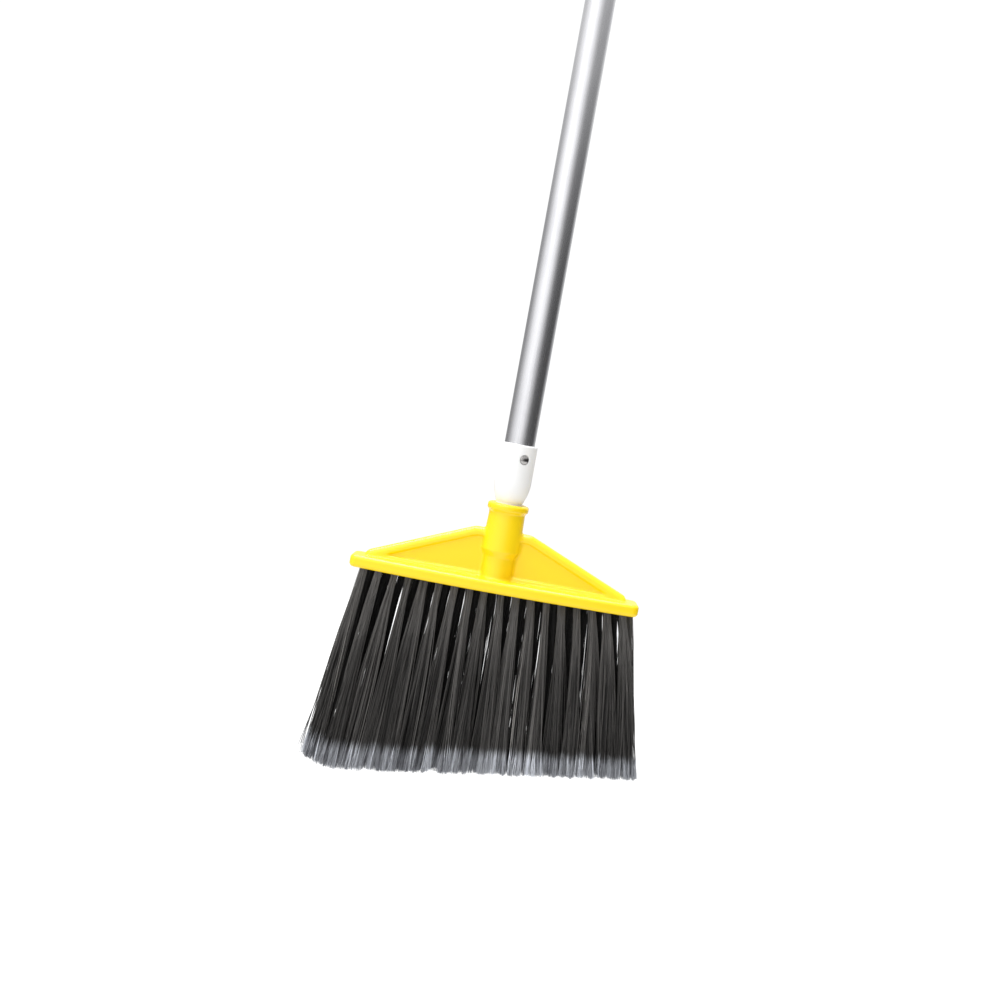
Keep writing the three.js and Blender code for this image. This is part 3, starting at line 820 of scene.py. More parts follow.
@dataclass
class BroomBlock(FieldPart):
    """The yellow moulding: slab, web with its raised rim, and socket. Lengths are in mm."""

    NAME, NODE, BODY, FINISH = "block_moulding", "broom_block", "head", YELLOW

    slab_height: float = 11.2
    slab_end_half: float = 15.0
    slab_middle_half: float = 24.0
    slab_corner: float = 6.0
    slab_edge: float = 3.2
    foot: float = 2.0
    web_half: float = 6.0
    web_end: float = 122.0
    web_end_height: float = 15.0
    web_end_edge: float = 4.0
    web_top: float = 55.2
    web_top_half: float = 26.0
    web_top_edge: float = 1.2
    web_side_edge: float = 4.6
    web_fillet: float = 1.6
    rim_width: float = 8.0
    rim_edge: float = 2.4
    panel_half: float = 3.4
    panel_floor: float = 14.7
    panel_corner: float = 0.8
    panel_floor_corner: float = 2.5
    panel_fillet: float = 0.9
    socket_lower: float = 14.75
    socket_sleeve: float = 17.7
    socket_neck: float = 16.65
    socket_lip: float = 18.85
    socket_edge: float = 1.0
    neck_length: float = 2.0
    socket_fillet: float = 2.2
    shoulder_low: float = 31.5
    shoulder_high: float = 37.0
    lip_height: float = 5.3
    lip_edge: float = 1.3
    lip_fillet: float = 3.2
    mouth_radius: float = 12.65
    mouth_depth: float = 7.0
    bore_edge: float = 0.5
    seat_gap: float = 0.3
    nose_gap: float = 3.0
    running_gap: float = 0.45
    hole_radius: float = 4.3
    hole_depth: float = 8.8
    hole_edge: float = 0.4
    tuft_pitch: float = 14.106
    row_pitch: float = 9.2
    row_tufts: int = 18
    cell: Triple = (0.95, 0.8, 0.85)

    def __post_init__(self) -> None:
        """Reads the block's place and size and the nose's end from the frame."""
        super().__post_init__()
        self.nose_low = (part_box("threaded_tip")[0].z - self.low.z) / MM
        self.half_length = (self.high.x - self.low.x) / 2 / MM

    def reach(self) -> Pair:
        """How far the block reaches along X and Y, in mm."""
        return self.half_length, self.slab_middle_half

    def _slab(self, at: Sequence[Array]) -> Array:
        """The slab, which is bowed in plan and rounded along its edges.

        Args:
            at: places.

        Returns:
            Distances to it.
        """
        x, y, z = at
        across = np.abs(x) / self.half_length
        half_depth = self.slab_end_half + (self.slab_middle_half - self.slab_end_half) * (1 - across**2)
        plan = round_max(np.abs(x) - self.half_length, np.abs(y) - half_depth, self.slab_corner)
        layer = np.abs(z - self.slab_height / 2) - self.slab_height / 2
        return round_max(plan, layer, self.slab_edge)

    def _web(self, at: Sequence[Array]) -> Array:
        """The web, with a panel sunk inside its rim on both faces.

        Args:
            at: places.

        Returns:
            Distances to it.
        """
        x, y, z = at
        run = self.web_end - self.web_top_half
        rise = self.web_top - self.web_end_height
        reach = np.abs(x)
        slope = ((reach - self.web_top_half) * rise + (z - self.web_top) * run) / math.hypot(run, rise)
        outline = round_max(slope, z - self.web_top, self.web_top_edge)
        outline = round_max(outline, reach - self.web_end, self.web_end_edge)
        outline = np.maximum(outline, self.foot - z)
        plate = round_max(outline, np.abs(y) - self.web_half, self.web_side_edge)
        panel = round_max(slope + self.rim_width, z - self.web_top + self.rim_width, self.panel_corner)
        panel = round_max(panel, self.panel_floor - z, self.panel_floor_corner)
        recess = round_max(panel, self.panel_half - np.abs(y), self.panel_fillet)
        return round_cut(plate, recess, self.rim_edge)

    def _socket(self, at: Sequence[Array]) -> Array:
        """The outside of the socket.

        Args:
            at: places.

        Returns:
            Distances to it.
        """
        x, y, z = at
        out = np.hypot(x, y)
        neck_low = self.height - self.lip_height - self.neck_length
        heights = [0, self.shoulder_low, self.shoulder_high, neck_low, self.height]
        radii = [self.socket_lower, self.socket_lower, self.socket_sleeve, self.socket_neck, self.socket_neck]
        sleeve = round_max(out - np.interp(z, heights, radii), z - self.height, self.socket_edge)
        middle = self.height - self.lip_height / 2
        lip = round_max(out - self.socket_lip, np.abs(z - middle) - self.lip_height / 2, self.lip_edge)
        return np.maximum(round_min(sleeve, lip, self.lip_fillet), self.foot - z)

    def _bore(self, at: Sequence[Array]) -> Array:
        """The hollow that takes the handle's nose, with its thread.

        Args:
            at: places.

        Returns:
            Distances to it.
        """
        x, y, z = at
        out = np.hypot(x, y)
        floor = self.height - self.mouth_depth
        middle = (floor + self.seat_gap + self.nose_low) / 2
        wall = THREAD.core_radius + self.running_gap + THREAD.ridge(x, y, z - middle) * THREAD.depth
        threaded = np.maximum(out - wall, self.nose_low - self.nose_gap - z)
        return np.minimum(threaded, np.maximum(out - self.mouth_radius, floor - z))

    def _tuft_holes(self, at: Sequence[Array]) -> Array:
        """The holes that the tufts are set in, three rows of them.

        Args:
            at: places.

        Returns:
            Distances to the nearest.
        """
        x, y, z = at
        nearest = np.full(x.shape, np.inf)
        for place in (-1, 0, 1):
            start = -(self.row_tufts - 1) / 2 * self.tuft_pitch + self.tuft_pitch / 2 * (place == 0)
            number = np.clip(np.round((x - start) / self.tuft_pitch), 0, self.row_tufts - 1)
            away = np.hypot(x - start - number * self.tuft_pitch, y - place * self.row_pitch)
            nearest = np.minimum(nearest, away)
        return np.maximum(nearest - self.hole_radius, z - self.hole_depth)

    def distance(self, at: Sequence[Array]) -> Array:
        """The whole moulding.

        Args:
            at: places.

        Returns:
            Distances to it.
        """
        web = round_min(self._web(at), self._slab(at), self.web_fillet)
        body = round_min(web, self._socket(at), self.socket_fillet)
        body = round_cut(body, self._bore(at), self.bore_edge)
        return round_cut(body, self._tuft_holes(at), self.hole_edge)


# ------------------------------ bristles


class Row(Enum):
    """The three rows of tufts, with the body that each bends with."""

    FRONT = "front"
    MIDDLE = "middle"
    BACK = "back"

    @property
    def body(self) -> str:
        """The CAD body's name."""
        return f"{self.value}_row"


class Draw(IntEnum):
    """The salt of each random draw; a draw in a disc takes the next number too."""

    ROOT = 1
    WANDER = 5
    STRAY = 9
    STRAY_SIZE = 12
    UNEVEN = 14
    BOW = 16
    FRAY = 20
    SHADE = 24
    LOCK_ROOT = 31
    LOCK_ACROSS = 33
    LOCK_DEPTH = 34
    LOCK_BOW = 35
    LOCK_SHADE = 37


class FibreTree(Board):
    """The Geometry Nodes tree that grows filaments from tuft points, in locks that lie together."""

    COUNTS = ("Strands", "Flags", "Lock", "Steps", "Seed")
    SIZES = ("Start", "Splay", "Root Radius", "Strand Radius", "Bend", "Stray", "Open X", "Open Y")
    SPENT = ("root", "end", "bow", "fray", "turn", "spread", "tip", "cut", "tuft")
    STRANDS_APART, FLAGS_APART, LOCKS_APART = 1000.0, 5000.0, 300.0
    LOCK_ROOT, STRAND_ROOT = 0.7, 0.34
    LOCK_ACROSS, LOCK_DEPTH = 1.08, 0.8
    LOCK_BOW, STRAND_BOW = 0.85, 0.2
    LOCK_SHADE, STRAND_SHADE, LEAST_SHADE = 0.55, 0.3, 0.2
    ROOT_TO_TIP, WANDER, STRAY_POWER = 0.12, 0.2, 6.0
    SHORTEST, LONGEST = -0.0022, 0.0012
    # painted shade: the level of the filaments hidden inside the rows, and how fast it lifts towards their
    # open sides
    HIDDEN_LIGHT, OPEN_FADES = 0.08, {"X": 0.01, "Y": 0.006}
    OPENING_POWER, FRAY_POWER, TAPER_POWER, TAPER = 0.9, 1.3, 4.0, 0.45
    SIDES = 3
    BAKE_TONE, BAKE_TURN = 0.97, 0.02

    def __init__(self, material: bpy.types.Material) -> None:
        """Builds the tree.

        Args:
            material: the filaments' material.
        """
        super().__init__(bpy.data.node_groups.new("Filaments", "GeometryNodeTree"))
        interface = self.tree.interface
        for way in ("INPUT", "OUTPUT"):
            interface.new_socket("Geometry", in_out=way, socket_type="NodeSocketGeometry")
        for name in self.COUNTS + self.SIZES:
            kind = "NodeSocketInt" if name in self.COUNTS else "NodeSocketFloat"
            interface.new_socket(name, in_out="INPUT", socket_type=kind)
        self.source = self.node("NodeGroupInput")
        self._wire(material)

    def size(self, name: str) -> Signal:
        """One of the tree's inputs."""
        return self.source.output(name)

    def random(self, low: float, high: float, ident: Signal, salt: int) -> Signal:
        """A random number for each identity, from the tree's seed and a salt of its own."""
        inputs = {2: low, 3: high, "ID": ident, "Seed": self.size("Seed") + float(salt)}
        return self.node("FunctionNodeRandomValue", {"data_type": "FLOAT"}, inputs, 1)

    def in_disc(self, ident: Signal, salt: int) -> Signal:
        """A random point in a unit disc across Z.

        Args:
            ident: what the point is drawn for.
            salt: the draw's salt.

        Returns:
            The point.
        """
        radius = self.random(0.0, 1.0, ident, salt).math("SQRT")
        angle = self.random(0.0, 2 * math.pi, ident, salt + 1)
        return self.vector(radius * angle.math("COSINE"), radius * angle.math("SINE"))

    def named(self, name: str, kind: str = "FLOAT_VECTOR") -> Signal:
        """A named attribute's value."""
        return self.node("GeometryNodeInputNamedAttribute", {"data_type": kind}, {"Name": name})

    def store(self, geometry: Signal, name: str, kind: str, value: Signal, domain: str = "POINT") -> Signal:
        """Stores a named attribute and returns the geometry."""
        inputs = {"Geometry": geometry, "Name": name, "Value": value}
        return self.node("GeometryNodeStoreNamedAttribute", {"data_type": kind, "domain": domain}, inputs)

    def _tip(self, strand: Signal, lock: Signal, disc: Signal) -> Signal:
        """Where a filament ends: in its lock's part of the tuft's tip, on the slanted cut.

        Args:
            strand: the filament's identity.
            lock: its lock's identity.
            disc: where its root is in the tuft's mouth.

        Returns:
            The place.
        """
        cell = self.vector(self.random(-self.LOCK_ACROSS, self.LOCK_ACROSS, lock, Draw.LOCK_ACROSS),
                           self.random(-self.LOCK_DEPTH, self.LOCK_DEPTH, lock, Draw.LOCK_DEPTH))
        wander = self.summed(cell, self.in_disc(strand, Draw.WANDER), self.WANDER)
        spot = self.summed(wander, disc, self.ROOT_TO_TIP)
        offset = self.combined("MULTIPLY", spot, self.named("spread"))
        far = self.size("Stray") * self.random(0.0, 1.0, strand, Draw.STRAY_SIZE) ** self.STRAY_POWER
        offset = self.summed(offset, self.in_disc(strand, Draw.STRAY), far)
        rise = self.part(offset, "X") * self.named("cut", "FLOAT")
        lift = self.vector(z=rise + self.random(self.SHORTEST, self.LONGEST, strand, Draw.UNEVEN))
        return self.combined("ADD", self.named("tip"), self.combined("ADD", offset, lift))

    def _tone_and_painted_shade(self, strand: Signal, lock: Signal, root: Signal) -> Signal:
        """How light a filament is: painted shade makes it dark inside the rows and light along their open
        sides, and a random share, much alike in a lock, is laid over that.

        Args:
            strand: the filament's identity.
            lock: its lock's identity.
            root: its root's place.

        Returns:
            How light it is, painted shade included, from 0 to about 1.
        """
        # painted shade: filaments away from the rows' open sides are darkened, standing in for the shade
        # between the tufts
        outer = []
        for axis, fade in self.OPEN_FADES.items():
            start = self.size(f"Open {axis}")
            outer.append(self.part(root, axis).math("ABSOLUTE").between(start, start + fade))
        painted_light = self.HIDDEN_LIGHT + self.math("MAXIMUM", *outer) * (1.0 - self.HIDDEN_LIGHT)
        shade = self.random(0.0, self.LOCK_SHADE, lock, Draw.LOCK_SHADE)
        shade += self.random(0.0, self.STRAND_SHADE, strand, Draw.SHADE)
        return painted_light * (shade + self.LEAST_SHADE)

    def _strand_points(self) -> Signal:
        """Makes one point for each filament, with its root, end, bow, fray and lightness, painted shade
        included, stored on it.

        Returns:
            The points.
        """
        flags = self.size("Flags")
        inputs = {"Geometry": self.source, "Amount": self.size("Strands") * flags}
        geometry = self.node("GeometryNodeDuplicateElements", {"domain": "POINT"}, inputs)
        copy, tuft = geometry.output(1), self.named("tuft", "INT")
        number = (copy / flags).math("FLOOR")
        strand = tuft * self.STRANDS_APART + number
        flag = tuft * self.FLAGS_APART + copy
        lock = tuft * self.LOCKS_APART + (number / self.size("Lock")).math("FLOOR")
        disc = self.scaled(self.in_disc(lock, Draw.LOCK_ROOT), self.LOCK_ROOT)
        disc = self.summed(disc, self.in_disc(strand, Draw.ROOT), self.STRAND_ROOT)
        root = self.summed(self.node("GeometryNodeInputPosition"), disc, self.size("Root Radius"))
        bow = self.scaled(self.in_disc(lock, Draw.LOCK_BOW), self.LOCK_BOW)
        bow = self.summed(bow, self.in_disc(strand, Draw.BOW), self.STRAND_BOW)
        stored = {
            "root": root,
            "end": self._tip(strand, lock, disc),
            "bow": self.scaled(bow, self.size("Bend")),
            "fray": self.scaled(self.in_disc(flag, Draw.FRAY), self.size("Splay")),
        }
        for name, value in stored.items():
            geometry = self.store(geometry, name, "FLOAT_VECTOR", value)
        return self.store(geometry, "tone_and_painted_shade", "FLOAT", self._tone_and_painted_shade(strand, lock, root))

    def _path(self, along: Signal, factor: Signal) -> Signal:
        """The line that a filament follows: it opens early, bows, and its flags fray apart.

        Args:
            along: the place from root to tip, from 0 to 1.
            factor: the place along the piece of it that is grown.

        Returns:
            The place in space.
        """
        root = self.named("root")
        chord = self.combined("SUBTRACT", self.named("end"), root)
        sideways = self.vector(self.part(chord, "X"), self.part(chord, "Y"))
        path = self.summed(root, sideways, along ** self.OPENING_POWER)
        path = self.summed(path, self.vector(z=self.part(chord, "Z")), along)
        path = self.summed(path, self.named("bow"), (along * math.pi).math("SINE"))
        return self.summed(path, self.named("fray"), factor ** self.FRAY_POWER)

    def _wire(self, material: bpy.types.Material) -> None:
        """Joins the nodes from the tuft points to the finished mesh.

        Args:
            material: the filaments' material.
        """
        line = self.node("GeometryNodeCurvePrimitiveLine", {}, {"End": (0.0, 0.0, 1.0)})
        line = self.node("GeometryNodeResampleCurve", {}, {"Curve": line, "Count": self.size("Steps")})
        points = self._strand_points()
        strands = self.node("GeometryNodeInstanceOnPoints", {}, {"Points": points, "Instance": line})
        strands = self.node("GeometryNodeRealizeInstances", {}, {"Geometry": strands})
        factor = self.node("GeometryNodeSplineParameter")
        along = self.size("Start") + factor * (1.0 - self.size("Start"))
        strands = self.store(strands, "along", "FLOAT", along)
        inputs = {"Geometry": strands, "Position": self._path(along, factor)}
        strands = self.node("GeometryNodeSetPosition", {}, inputs)
        taper = 1.0 - along ** self.TAPER_POWER * self.TAPER
        strands = self.node("GeometryNodeSetCurveRadius", {}, {"Curve": strands, "Radius": taper})
        inputs = {"Resolution": self.SIDES, "Radius": self.size("Strand Radius")}
        profile = self.node("GeometryNodeCurvePrimitiveCircle", {"mode": "RADIUS"}, inputs)
        profile = self.store(profile, "turn", "FLOAT", self.node("GeometryNodeSplineParameter"))
        inputs = {"Curve": strands, "Profile Curve": profile, "Fill Caps": True}
        inputs["Scale"] = self.node("GeometryNodeInputRadius")
        mesh = self.node("GeometryNodeCurveToMesh", {}, inputs)
        u = self.named("tone_and_painted_shade", "FLOAT") * self.BAKE_TONE + self.named("turn", "FLOAT") * self.BAKE_TURN
        mesh = self.store(mesh, "OFBake", "FLOAT2", self.vector(u, self.named("along", "FLOAT")), "CORNER")
        mesh = self.node("GeometryNodeSetShadeSmooth", {}, {"Geometry": mesh})
        mesh = self.node("GeometryNodeRealizeInstances", {}, {"Geometry": mesh})
        mesh = self.node("GeometryNodeSetMaterial", {}, {"Geometry": mesh, "Material": material})
        self.node("NodeGroupOutput", {}, {"Geometry": mesh})

    def grow(self, name: str, points: bpy.types.Mesh, sizes: dict[str, float]) -> bpy.types.Object:
        """Runs the tree on tuft points.

        Args:
            name: the piece's name.
            points: a mesh of one vertex for each tuft, with its attributes.
            sizes: values of the tree's inputs, by name.

        Returns:
            A piece with the result as a plain mesh.
        """
        carrier = place_piece("carrier", points)
        modifier = carrier.modifiers.new("Filaments", "NODES")
        modifier.node_group = self.tree
        for item in self.tree.interface.items_tree:
            if item.in_out == "INPUT" and item.name in sizes:
                modifier[item.identifier] = sizes[item.name]
        carrier.update_tag()
        graph = bpy.context.evaluated_depsgraph_get()
        mesh = bpy.data.meshes.new_from_object(carrier.evaluated_get(graph))
        carrier.modifiers.remove(modifier)
        bpy.data.objects.remove(carrier)
        mesh.name = name
        for spent in self.SPENT:
            if spent in mesh.attributes:
                mesh.attributes.remove(mesh.attributes[spent])
        return place_piece(name, mesh)


@dataclass(frozen=True)
class Tuft:
    """Where a CAD tuft starts and ends, in metres: its mouth, its tip, the tip's half sizes and its slope."""

    mouth: Vector
    tip: Vector
    spread: Vector
    cut: float


@dataclass
class BristleFill:
    """Three rows of tufts, each a bundle of filaments with flagged tips. Lengths are in metres."""

    strands: int = 200
    lock: int = 10
    flags: int = 2
    strand_steps: int = 7
    flag_steps: int = 4
    strand_radius: float = 0.00029
    flag_radius: float = 0.0002
    flag_start: float = 0.86
    splay: float = 0.0024
    bend: float = 0.0034
    middle_bend: float = 0.0018
    stray: float = 0.008
    root_radius: float = 0.0039
    middle_root_radius: float = 0.0047
    # where the painted shade inside the rows fades out, across the block and in depth
    open_across: float = 0.118
    open_depth: float = 0.0055
    bend_length: float = 0.05
    mouth_within: float = 0.0005
    tips_below: float = 0.05
    row_apart: int = 100
    seed: int = 7

    def __post_init__(self) -> None:
        """Reads the underside's height from the frame."""
        self.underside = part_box("broom_block")[0].z

    def _tuft(self, node: str) -> Tuft:
        """Measures one CAD tuft.

        Args:
            node: the tuft's name.

        Returns:
            Where it starts and ends.
        """
        places = np.array([vertex.co for vertex in frame["nodes"][node].data.vertices])
        mouth = places[np.abs(places[:, 2] - self.underside) < self.mouth_within]
        tips = places[places[:, 2] < self.underside - self.tips_below]
        half = (tips.max(0) - tips.min(0)) / 2
        slope = float(np.polyfit(tips[:, 0], tips[:, 2], 1)[0])
        middle = Vector((tips.min(0) + tips.max(0)) / 2)
        return Tuft(Vector(mouth.mean(0)), middle, Vector((half[0], half[1], 0.0)), slope)

    def _points(self, row: Row) -> bpy.types.Mesh:
        """Marks the tufts of a row.

        Args:
            row: the row.

        Returns:
            A mesh of one vertex for each tuft, with what its filaments need.
        """
        tufts = [self._tuft(node) for node in sorted(frame["record"]["behaviour"]["bodies"][row.body])]
        first = self.row_apart * list(Row).index(row)
        mesh = bpy.data.meshes.new("tuft points")
        mesh.from_pydata([tuple(tuft.mouth) for tuft in tufts], [], [])
        layers = {
            ("tip", "FLOAT_VECTOR", "vector"): [part for tuft in tufts for part in tuft.tip],
            ("spread", "FLOAT_VECTOR", "vector"): [part for tuft in tufts for part in tuft.spread],
            ("cut", "FLOAT", "value"): [tuft.cut for tuft in tufts],
            ("tuft", "INT", "value"): [first + number for number in range(len(tufts))],
        }
        for (name, kind, field), values in layers.items():
            mesh.attributes.new(name, kind, "POINT").data.foreach_set(field, values)
        return mesh

    def _sizes(self, row: Row) -> dict[str, float]:
        """Values of the tree's inputs that a row's filaments and flagged tips share.

        Args:
            row: the row.

        Returns:
            The values by the inputs' names.
        """
        middle = row is Row.MIDDLE
        return {
            "Strands": self.strands,
            "Lock": self.lock,
            "Root Radius": self.middle_root_radius if middle else self.root_radius,
            "Open X": self.open_across,
            "Open Y": self.open_depth,
            "Bend": self.middle_bend if middle else self.bend,
            "Stray": self.stray,
            "Seed": self.seed,
        }

    def build(self) -> list[bpy.types.Object]:
        """Makes the filaments and the flagged tips of each row.

        Returns:
            The pieces.
        """
        tree = FibreTree(FIBRE.material())
        own = ("Steps", "Flags", "Start", "Splay", "Strand Radius")
        plain = dict(zip(own, (self.strand_steps, 1, 0.0, 0.0, self.strand_radius)))
        frayed = dict(zip(own, (self.flag_steps, self.flags, self.flag_start, self.splay, self.flag_radius)))
        pieces = []
        for row in Row:
            grown = [tree.grow(f"{row.value}_{kind}", self._points(row), self._sizes(row) | sizes)
                     for kind, sizes in (("filaments", plain), ("flagged_tips", frayed))]
            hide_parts(*frame["record"]["behaviour"]["bodies"][row.body])
            for piece in grown:
                row.body
                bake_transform(piece)
                report(piece, row.body)
            pieces += grown
        return pieces


# ------------------------------ handle


@dataclass
class Ferrule(FieldPart):
    """The white threaded tip of the handle. Lengths are in mm, heights from its lowest point."""

    NAME, NODE, BODY, FINISH = "ferrule", "threaded_tip", "handle", WHITE

    nose_length: float = 27.5
    nose_edge: float = 0.8
    neck_radius: float = 12.2
    radius: float = 17.1
    taper_low: float = 36.4
    taper_bend: float = 47.4
    taper_high: float = 55.4
    taper_steps: int = 13
    bore_radius: float = 14.3
    bore_edge: float = 0.5
    top_edge: float = 1.5
    overlap: float = 2.0
    seat_gap: float = 0.3
    rivet_drop: float = 13.1
    rivet_turn: float = 25.0
    rivet_seat_radius: float = 4.6
    rivet_seat_depth: float = 1.5
    rivet_seat_edge: float = 0.35
    cell: Triple = (0.5, 0.5, 0.55)

    def __post_init__(self) -> None:
        """Reads the ferrule's place and the tube's end from the frame."""
        super().__post_init__()
        self.tube_seat = (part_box("handle_tube")[0].z - self.low.z) / MM - self.seat_gap

    def reach(self) -> Pair:
        """How far the ferrule reaches along X and Y, in mm."""
        return self.radius, self.radius

    def _outer_radius(self, z: Array) -> Array:
        """The radius of the outside above the nose, along a curved taper.

        Args:
            z: heights.

        Returns:
            The radii.
        """
        share = np.linspace(0.0, 1.0, self.taper_steps)
        start, bend, end = (1 - share) ** 2, 2 * share * (1 - share), share**2
        height = start * self.taper_low + bend * self.taper_bend + end * self.taper_high
        return np.interp(z, height, start * self.neck_radius + (bend + end) * self.radius)

    def _nose(self, x: Array, y: Array, z: Array) -> Array:
        """The threaded nose.

        Args:
            x: distances along X from the axis.
            y: distances along Y from the axis.
            z: heights.

        Returns:
            Distances to it.
        """
        from_middle = z - self.nose_length / 2
        left = THREAD.turns * THREAD.pitch / 2 - np.abs(from_middle)
        ridge = THREAD.ridge(x, y, from_middle) * np.clip(left / THREAD.run_out, 0.0, 1.0)
        nose = round_max(np.hypot(x, y) - (THREAD.core_radius + ridge * THREAD.depth), -z, self.nose_edge)
        return np.maximum(nose, z - self.nose_length - self.overlap)

    def distance(self, at: Sequence[Array]) -> Array:
        """The whole ferrule, with the tube's bore and the rivet's seats.

        Args:
            at: places.

        Returns:
            Distances to it.
        """
        x, y, z = at
        out = np.hypot(x, y)
        shell = round_max(out - self._outer_radius(z), z - self.height, self.top_edge)
        shell = round_max(shell, self.nose_length - z, self.nose_edge)
        body = np.minimum(shell, self._nose(x, y, z))
        body = round_cut(body, np.maximum(out - self.bore_radius, self.tube_seat - z), self.bore_edge)
        turn = math.radians(self.rivet_turn)
        forward = x * math.sin(turn) - y * math.cos(turn)
        sideways = x * math.cos(turn) + y * math.sin(turn)
        seat = np.hypot(sideways, z - self.height + self.rivet_drop) - self.rivet_seat_radius
        seat = np.maximum(seat, self.radius - self.rivet_seat_depth - np.abs(forward))
        return round_cut(body, seat, self.rivet_seat_edge)


@dataclass
class FerruleRivet(TurnedPart):
    """The rivet through ferrule and tube: a domed head in front, a rolled one behind. Lengths in mm."""

    NAME, NODE, BODY, FINISH, SEGMENTS = "rivet", "ferrule_rivet", "handle", RIVET, 64

    head_radius: float = 4.3
    shank_radius: float = 2.4
    seat: float = 15.9
    head_height: float = 1.6
    rim: float = 0.3
    rolled_edge: float = 0.55
    hollow_radius: float = 1.5
    hollow_floor: float = 0.8
    hollow_side: float = 0.2
    roll: float = 0.9
    roll_inside: float = 0.5
    turn: float = 25.0

    def outline(self) -> list[Pair]:
        """Draws the rivet along its own axis, from the rolled head's hollow to the top of the dome.

        Returns:
            Pairs of radius and height.
        """
        top = self.seat + self.head_height
        rise = self.head_height - self.rim
        dome = (self.head_radius**2 + rise**2) / (2 * rise)
        start = math.degrees(math.acos(self.head_radius / dome))
        edge, roll = self.rolled_edge, self.roll
        return [
            (0.0, self.hollow_floor - self.seat),
            (self.hollow_radius, self.hollow_side - self.seat),
            (self.hollow_radius, self.roll_inside - top),
            *arc((self.hollow_radius + roll, roll - top), roll, 180, 270),
            *arc((self.head_radius - edge, edge - top), edge, 270, 360),
            (self.head_radius, -self.seat),
            (self.shank_radius, -self.seat),
            (self.shank_radius, self.seat),
            (self.head_radius, self.seat),
            (self.head_radius, self.seat + self.rim),
            *arc((0.0, top - dome), dome, start, 90, 12)[1:-1],
            (0.0, top),
        ]

    def mesh(self) -> bpy.types.Mesh:
        """Turns the rivet and lays it across the ferrule.

        Returns:
            The mesh, in place.
        """
        made = super().mesh()
        turned = Matrix.Rotation(math.radians(self.turn), 4, "Z") @ Matrix.Rotation(math.radians(90), 4, "X")
        made.transform(Matrix.Translation((0, 0, (self.low.z + self.high.z) / 2)) @ turned)
        return made


@dataclass
class HandleTube(TurnedPart):
    """The aluminium tube. Lengths are in mm."""

    NAME, NODE, BODY, FINISH, SEGMENTS = "tube", "handle_tube", "handle", TUBE, 128

    wall: float = 1.3
    edge: float = 0.4
    bands: int = 24
    inner_ring: float = 1.0

    def outline(self) -> list[Pair]:
        """Draws the tube's wall, with rings along it for even shading.

        Returns:
            Pairs of radius and height.
        """
        radius, edge = self.high.x / MM, self.edge
        inner, low, high = radius - self.wall, self.low.z / MM, self.high.z / MM
        straight = high - low - 2 * edge
        return [
            (inner, low),
            (radius - edge, low),
            *arc((radius - edge, low + edge), edge, -90, 0, 3),
            *[(radius, low + edge + straight * step / self.bands) for step in range(1, self.bands)],
            *arc((radius - edge, high - edge), edge, 0, 90, 3),
            (inner, high),
            (inner, low + self.inner_ring),
        ]


@dataclass
class EndPlug(TurnedPart):
    """The plug in the top of the tube, with the barbed stem that the hanger snaps on. Lengths are in mm."""

    NAME, NODE, BODY, FINISH = "end_plug", "tube_end_plug", "handle", GREY

    seat_gap: float = 0.3
    tube_wall: float = 1.6
    lead_width: float = 1.5
    lead_height: float = 3.0
    collar_height: float = 6.0
    collar_chamfer: float = 0.4
    collar_edge: float = 1.0
    stem_radius: float = 4.0
    stem_flare: float = 0.5
    barb_radius: float = 6.0
    barb_height: float = 6.5
    barb_chamfer: float = 0.3
    barb_band: float = 0.3
    barb_point: float = 0.45

    def outline(self) -> list[Pair]:
        """Draws the plug from its foot in the tube to the barb's point.

        Returns:
            Pairs of radius and height.
        """
        radius, low, high = self.high.x / MM, self.low.z / MM, self.high.z / MM
        inner = radius - self.tube_wall
        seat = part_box("handle_tube")[1].z / MM + self.seat_gap
        collar, edge = seat + self.collar_height, self.collar_edge
        barb = high - self.barb_height
        return [
            (0.0, low),
            (inner - self.lead_width, low),
            (inner, low + self.lead_height),
            (inner, seat),
            (radius - self.collar_chamfer, seat),
            (radius, seat + self.collar_chamfer),
            *arc((radius - edge, collar - edge), edge, 0, 90),
            (self.stem_radius + self.stem_flare, collar),
            (self.stem_radius, collar + self.stem_flare),
            (self.stem_radius, barb),
            (self.barb_radius - self.barb_chamfer, barb),
            (self.barb_radius, barb + self.barb_chamfer),
            (self.barb_radius, barb + self.barb_height * self.barb_band),
            (self.barb_radius * self.barb_point, high),
            (0.0, high),
        ]


